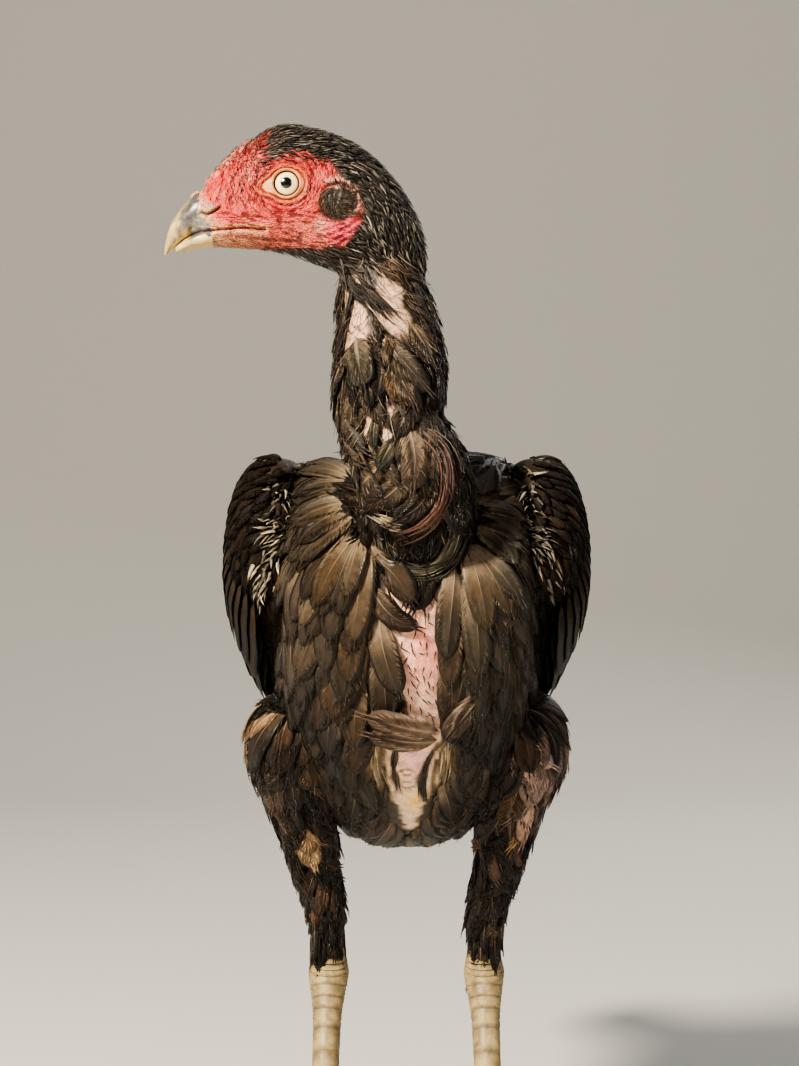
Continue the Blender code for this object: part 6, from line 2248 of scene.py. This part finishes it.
def eyes():
    look = eye_look()
    depth = head_row(EYE_X)[2] + EYE_PROUD - EYE_BALL
    for side, word in SIDES:
        polar = math.pi * np.linspace(0.02, 1, 70) ** 1.5 * 0.995
        angles = 2 * math.pi * np.arange(64) / 64
        off = EYE_BALL * np.sin(polar)
        cornea = CORNEA_HEIGHT * np.clip(1 - (off / CORNEA_RADIUS) ** 2, 0, 1) * (polar < 1.5)
        out = EYE_BALL * np.cos(polar) + cornea
        x = EYE_X + off[:, None] * np.cos(angles)
        z = EYE_Z + off[:, None] * np.sin(angles)
        y = np.broadcast_to((HEAD_Y - side * (depth + out))[:, None], x.shape)
        points, faces = loft(np.stack([x, y, z], -1))
        radius = np.hypot(points[:, 0] - EYE_X, points[:, 2] - EYE_Z)
        front = (points[:, 1] - HEAD_Y) * -side > depth
        radius = np.where(front, radius, EYE_BALL)
        turn = np.arctan2(points[:, 2] - EYE_Z, points[:, 0] - EYE_X)
        vanes = np.stack([radius, turn, np.zeros(len(points))], -1)
        piece(mesh_object("eyeball_" + word, points, faces, look, None, vanes), "eye", "eye_" + word)


def horn_look():
    look, shader = mottled_look(
        "horn", (340.0, 4.0), (1500.0, 2.0), (0.78, 1.2), (0.9, 1.1), (0.25, 0.45), (0.0001, 0.5)
    )
    set_inputs(shader, Coat_Weight=0.25, Coat_Roughness=0.25)
    return look


HORN_TIP, HORN_GREY, HORN_PALE = (0.60, 0.41, 0.16), (0.062, 0.066, 0.076), (0.46, 0.38, 0.25)


# How far the lower half of the bill reaches up into the upper one
BILL_OVERLAP = 0.0007


def bill(look):
    """Both halves of the bill: dark grey on the ridge, ochre at the tip and the edges."""
    for word, stations, upper in (("upper", UPPER_BILL, True), ("lower", LOWER_BILL, False)):
        rings = []
        for x, top, bottom, half in refined(stations, 44):
            high, low = np.array((x, HEAD_Y, top)), np.array((x, HEAD_Y, bottom))
            if not upper:
                high[2] += BILL_OVERLAP
            rings.append(oval_ring(high, low, np.array((0, half, 0)), 2.1 if upper else 2.3, 40))
        points, faces = loft(rings)
        x, y, z = points.T
        rows = refined(stations, 60)[::-1]
        top = np.interp(x, rows[:, 0], rows[:, 1])
        bottom = np.interp(x, rows[:, 0], rows[:, 2])
        share = np.clip((z - bottom) / np.maximum(top - bottom, 1e-5), 0, 1)
        cloud = lumps(points, 0.0035, 61) * 0.5 + lumps(points, 0.0014, 62) * 0.5
        streak = lumps(np.stack([x + 0.5 * z, y, (z - 0.9 * x) * 0.3], -1), 0.0011, 63)
        tip = smooth(-0.0885, -0.0940, x - 0.25 * (z - 0.4050) + 0.0016 * cloud)
        if upper:
            grey = smooth(0.02, 0.36, share + 0.18 * cloud + 0.16 * streak)
            # Painted highlight: along the very top of the ridge the grey thins out in streaks, so that the
            # ridge shows paler.
            grey *= 1 - 0.55 * smooth(0.86, 1.0, share) * smooth(-0.2, 0.5, streak)
        else:
            grey = smooth(0.55, 0.95, share + 0.25 * streak) * smooth(-0.0885, -0.0835, x)
        tint = mixed(HORN_TIP, HORN_PALE, np.clip(0.35 + 0.5 * cloud + 0.3 * streak, 0, 1))
        tint = mixed(tint, HORN_GREY, np.clip(0.92 * grey * (1 - tip), 0, 1))
        tint = mixed(tint, (0.035, 0.03, 0.03), 0.8 * hump(share, 0.16, 0.07) * (x > -0.0865) * upper)
        lines = 0.00005 * np.sin(x * 5200 + z * 2600) * (share > 0.05)
        points = points + np.stack([np.zeros(len(x)), np.sign(y - HEAD_Y) * lines, np.zeros(len(x))], -1)
        piece(mesh_object("horn_" + word, points, faces, look, tint), "horn", "bill_" + word)


def scale_look():
    look, _ = mottled_look(
        "scale", (210.0, 4.0), (1700.0, 3.0), (0.70, 1.2), (0.85, 1.1), (0.38, 0.60), (0.00015, 0.6)
    )
    return look


SCALE, SCALE_DARK, SCALE_EDGE = (0.40, 0.31, 0.15), (0.30, 0.22, 0.11), (0.13, 0.095, 0.055)
# Rings of the leg: from the hock up into the thigh, as shares of that way and of the hock's
# radius, then down the shank as shares of the way to the foot and radii
HOCK_RINGS = ((1.6, 0.72), (0.8, 0.88), (0.35, 0.98), (0.0, 1.02))
SHANK_RINGS = (
    (0.10, 0.0073), (0.22, 0.0061), (0.45, 0.0056), (0.70, 0.0056), (0.90, 0.0062), (1.04, 0.0066),
)
# Rings of the ball of the foot: height and radius
BALL_RINGS = (
    (0.0200, 0.0064), (0.0165, 0.0074), (0.0125, 0.0082), (0.0085, 0.0084), (0.0045, 0.0072),
    (0.0015, 0.0050),
)
# Lowest points of the toes and of the claws
TOE_FLOOR, CLAW_FLOOR = 0.0002, 0.0003
CLAW_ROOT, CLAW_TIP = (0.22, 0.16, 0.09), (0.50, 0.42, 0.28)


def scuted_tube(centres, radii, sides, scutes, cells, reference, front, relief, floor=0.0):
    """Points, faces and colours of a tube with broad plates down one side and small scales round it.

    The scutes are the plates' number, and the cells the small scales' round it and along it.
    """
    rings = tube_rings(centres, radii, radii, sides, reference)
    t = np.linspace(0, 1, len(rings))[:, None]
    angles = 2 * math.pi * np.arange(sides)[None] / sides
    facing = smooth(0.35, 0.60, np.sin(angles) if front else np.cos(angles))
    phase = (t * scutes) % 1.0
    plate = 0.25 + 0.75 * phase**1.3 - 1.1 * hump(phase, 1.0, 0.07) - 1.1 * hump(phase, 0.0, 0.05)
    row = t * cells[1]
    column = angles * cells[0] / (2 * math.pi) + 0.5 * (np.floor(row) % 2)
    beside = np.maximum(np.abs(column % 1.0 - 0.5), np.abs(row % 1.0 - 0.5)) * 2
    scale = 0.55 * (1 - beside**5) - 0.1
    height = (plate * facing + scale * (1 - facing)) * relief
    centre = np.asarray(centres)[:, None]
    groove = np.clip(1 - (plate * facing + scale * (1 - facing)) / 0.45, 0, 1)
    rings = rings + unit(rings - centre) * height[..., None]
    rings[..., 2] = np.maximum(rings[..., 2], floor)
    points, faces = loft(rings)
    tint = mixed(SCALE, SCALE_DARK, 0.5 + 0.5 * lumps(points, 0.006, 71))
    full = np.concatenate([groove.ravel(), [0.5, 0.5]])
    return points, faces, mixed(tint, SCALE_EDGE, 0.75 * np.clip(full, 0, 1))


def shank(side, word, look):
    hock, foot = HOCK * (side, 1, 1), FOOT_TOP * (side, 1, 1)
    into_thigh = np.array(THIGH[-1][:3]) * (side, 1, 1) - hock
    stations = []
    for share, size in HOCK_RINGS:
        stations.append((*(hock + into_thigh * share), HOCK_RADIUS * size))
    for share, size in SHANK_RINGS:
        stations.append((*(hock + (foot - hock) * share), size))
    rows = refined(stations, 170)
    points, faces, tints = scuted_tube(
        rows[:, :3], rows[:, 3], sides=48, scutes=17, cells=(13, 44), reference=ACROSS,
        front=True, relief=0.0006,
    )
    piece(mesh_object("leg_" + word, points, faces, look, tints), "scale", "shank_" + word)


def toe_path(side, turn):
    angle = math.radians(turn)
    ahead = np.array((side * math.sin(angle), -math.cos(angle), 0.0))
    return np.array((side * FOOT_TOP[0], FOOT_TOP[1] - 0.003, 0.0)), ahead


def foot(side, word, look):
    """Four toes with plates on top and pads beneath, joined in the ball of the foot."""
    tubes = []
    for _, turn, length, radius in TOES:
        root, ahead = toe_path(side, turn)
        t = np.linspace(0, 1, 90)
        size = radius * (1 - 0.42 * t) * (1 + 0.07 * np.cos(t * 6 * math.pi))
        centres = root + ahead * (length * t - radius * 0.3)[:, None]
        centres[:, 2] = radius * (1 - 0.42 * t) * 0.86 + 0.006 * np.maximum(0, 0.25 - t) / 0.25
        size[-4:] *= np.array((0.97, 0.88, 0.70, 0.40))
        plates = int(length / 0.0031)
        tubes.append(
            scuted_tube(
                centres, size, sides=36, scutes=plates, cells=(9, plates * 2), reference=UPWARD,
                front=False, relief=0.00045, floor=TOE_FLOOR,
            )
        )
    centre = FOOT_TOP * (side, 1, 1)
    rows = refined([(centre[0], centre[1], z, radius) for z, radius in BALL_RINGS], 60)
    tubes.append(
        scuted_tube(
            rows[:, :3], rows[:, 3], sides=44, scutes=6, cells=(12, 12), reference=ACROSS,
            front=True, relief=0.0004,
        )
    )
    starts = np.cumsum([0] + [len(points) for points, _, _ in tubes[:-1]])
    points = np.vstack([tube[0] for tube in tubes])
    faces = np.vstack([tube[1] + start for tube, start in zip(tubes, starts)])
    tints = np.vstack([tube[2] for tube in tubes])
    piece(mesh_object("toes_" + word, points, faces, look, tints), "scale", "foot_" + word)


def claws(side, word, look):
    for name, turn, length, _ in TOES:
        root, ahead = toe_path(side, turn)
        t = np.linspace(0, 1, 30)
        centres = root + ahead * (length - 0.0026 + (CLAW_LENGTH + 0.0018) * t)[:, None]
        centres[:, 2] = 0.0030 + 0.0014 * np.sin(math.pi * t) - 0.0018 * t
        size = CLAW_RADIUS * (1 - 0.90 * t**1.3)
        rings = tube_rings(centres, size, size * 0.75, 20, UPWARD)
        rings[..., 2] = np.maximum(rings[..., 2], CLAW_FLOOR)
        points, faces = loft(rings)
        share = np.clip((points - root) @ ahead - length + 0.0026, 0, 1) / CLAW_LENGTH
        tint = mixed(CLAW_ROOT, CLAW_TIP, np.clip(share, 0, 1))
        claw = mesh_object(f"nail_{word}_{name}", points, faces, look, tint)
        piece(claw, "horn", f"claw_{word}_{name}")


def feather_look(
    name, shaft=(0.42, 0.32, 0.21), shaft_half=0.00024, roughness=0.34, barb=0.00034, gloss=0.5, sheen=0.03
):
    """Barbs in soft streaks out from a thin paler shaft that fades towards the tip."""
    look, tree, shader = new_look(name)
    along, across, share = vane_node(tree)
    off_shaft = math_node(tree, "ABSOLUTE", across)
    wander = noise_node(tree, 420.0, 2.0)
    phase = math_node(tree, "SUBTRACT", along, math_node(tree, "MULTIPLY", off_shaft, 2.1))
    phase = math_node(tree, "ADD", phase, math_node(tree, "MULTIPLY", wander, 0.0016))
    wave = math_node(tree, "SINE", math_node(tree, "MULTIPLY", phase, 2 * math.pi / barb))
    coarse = math_node(tree, "SINE", math_node(tree, "MULTIPLY", phase, 2 * math.pi / (barb * 4.3)))
    streak = math_node(tree, "ADD", wave, math_node(tree, "MULTIPLY", coarse, 0.8))
    tone = span_node(tree, streak, -1.6, 1.6, 0.88, 1.12)
    tone = math_node(tree, "MULTIPLY", tone, span_node(tree, wander, 0.25, 0.75, 0.80, 1.22))
    vane_colour = scaled_colour(tree, tint_node(tree), tone)
    thin = span_node(tree, share, 0.0, 1.0, shaft_half, shaft_half * 0.35)
    on_shaft = span_node(tree, math_node(tree, "DIVIDE", off_shaft, thin), 0.6, 1.3, 1.0, 0.0)
    fade = span_node(tree, share, 0.15, 0.95, 0.75, 0.0)
    colour = colour_mix(tree, vane_colour, shaft, math_node(tree, "MULTIPLY", on_shaft, fade))
    tree.links.new(colour, shader.inputs["Base Color"])
    rough = span_node(tree, streak, -1.6, 1.6, roughness - 0.07, roughness + 0.10)
    tree.links.new(rough, shader.inputs["Roughness"])
    set_inputs(shader, Specular_IOR_Level=gloss, Sheen_Weight=sheen, Sheen_Roughness=0.4)
    add_bump(tree, shader, streak, 0.0001, 0.6)
    return look


def dress():
    """Every piece of the hen, over the skin that is already there."""
    body = feather_look("feather")
    wing = feather_look(
        "wing feather", (0.05, 0.036, 0.026), roughness=0.40, barb=0.00050, gloss=0.16, sheen=0.0
    )
    fine = feather_look("fine feather", (0.30, 0.25, 0.19), 0.00010, roughness=0.38, barb=0.00030)
    hair = feather_look("hair", (0.10, 0.08, 0.06), 0.00002)
    trunk_feathers(body)
    lone_feathers(body)
    fan_feathers(body)
    neck_feathers(body, hair)
    draped_strands(fine)
    crown_feathers(fine)
    tail_feathers(wing)
    tail_fluff(body)
    face_papillae(skin_look())
    face_hair(hair)
    eyes()
    horn, scale = horn_look(), scale_look()
    bill(horn)
    for side, word in SIDES:
        thigh_feathers(side, word, body)
        wing_quills(side, word, wing)
        wing_coverts(side, word, wing)
        shank(side, word, scale)
        foot(side, word, scale)
        claws(side, word, horn)


# Camera, light and floor

# The photo's height and focal length in pixels, and the camera's place
PHOTO_HEIGHT, FOCAL_LENGTH, SENSOR_MM = 1066, 2400, 36
CAMERA_PLACE = (0.0064, -1.0665, 0.289)
# Lamps: place, size, power, colour
LAMPS = {
    "key": ((-0.95, -1.45, 1.30), 0.34, 78, (1.0, 0.92, 0.79)),
    "fill": ((1.4, -1.3, 0.7), 1.2, 6, (0.96, 0.97, 1.0)),
    "back": ((0.7, 1.5, 1.2), 1.2, 7, (1.0, 1.0, 1.0)),
}
LAMP_TARGET = (0, 0, 0.28)
SKY_COLOUR, SKY_STRENGTH = (0.80, 0.82, 0.85, 1), 0.22
# The floor runs level from its front edge, bends up behind the hen and ends in a wall
FLOOR_FRONT, FLOOR_END, FLOOR_BEND, WALL_TOP, FLOOR_HALF = -3.0, 1.5, 1.8, 5.0, 5.0
FLOOR_COLOUR = (0.76, 0.73, 0.67, 1)


def aimed(obj, place, target):
    obj.location = place
    obj.rotation_euler = (Vector(target) - Vector(place)).to_track_quat("-Z", "Y").to_euler()


def add_camera():
    data = bpy.data.cameras.new("camera")
    data.lens = SENSOR_MM * FOCAL_LENGTH / PHOTO_HEIGHT
    data.sensor_width = SENSOR_MM
    data.clip_start = 0.05
    camera = bpy.data.objects.new("camera", data)
    camera.location = CAMERA_PLACE
    camera.rotation_euler = (math.radians(90), 0, 0)
    bpy.context.scene.collection.objects.link(camera)
    bpy.context.scene.camera = camera


def add_lamp(name, place, size, power, colour):
    data = bpy.data.lights.new(name, "AREA")
    data.shape = "DISK"
    data.size = size
    data.energy = power
    data.color = colour
    light = bpy.data.objects.new(name, data)
    aimed(light, place, LAMP_TARGET)
    bpy.context.scene.collection.objects.link(light)


def add_studio():
    for name, settings in LAMPS.items():
        add_lamp(name, *settings)
    world = bpy.data.worlds.new("studio")
    bpy.context.scene.world = world
    world.use_nodes = True
    set_inputs(world.node_tree.nodes["Background"], Color=SKY_COLOUR, Strength=SKY_STRENGTH)
    rows = [(FLOOR_FRONT, 0.0)]
    for turn in np.linspace(0, math.pi / 2, 24):
        rise = FLOOR_BEND - FLOOR_BEND * math.cos(turn)
        rows.append((FLOOR_END + FLOOR_BEND * math.sin(turn), rise))
    rows.append((FLOOR_END + FLOOR_BEND, WALL_TOP))
    points, faces = [], []
    for y, z in rows:
        points += [(-FLOOR_HALF, y, z), (FLOOR_HALF, y, z)]
    for k in range(len(rows) - 1):
        faces.append((2 * k, 2 * k + 1, 2 * k + 3, 2 * k + 2))
    look, _, shader = new_look("studio floor")
    set_inputs(shader, Base_Color=FLOOR_COLOUR, Roughness=0.85)
    floor = mesh_object("floor", np.array(points) - SHIFT, np.array(faces), look)


# The skin and the form under each of its faces, which the functions above read
forms = flesh_forms()
skin = build_skin(forms)
labels = label_points(forms, skin.centres)
skin_object = mesh_object("skin", skin.points, skin.faces, skin_look(), skin_colours(skin.points))
piece(skin_object, "face", "torso", "neck_upper", "neck_lower", "head", "thigh_left", "thigh_right")
dress()
add_camera()
add_studio()
bpy.context.scene.view_settings.look = "AgX - High Contrast"
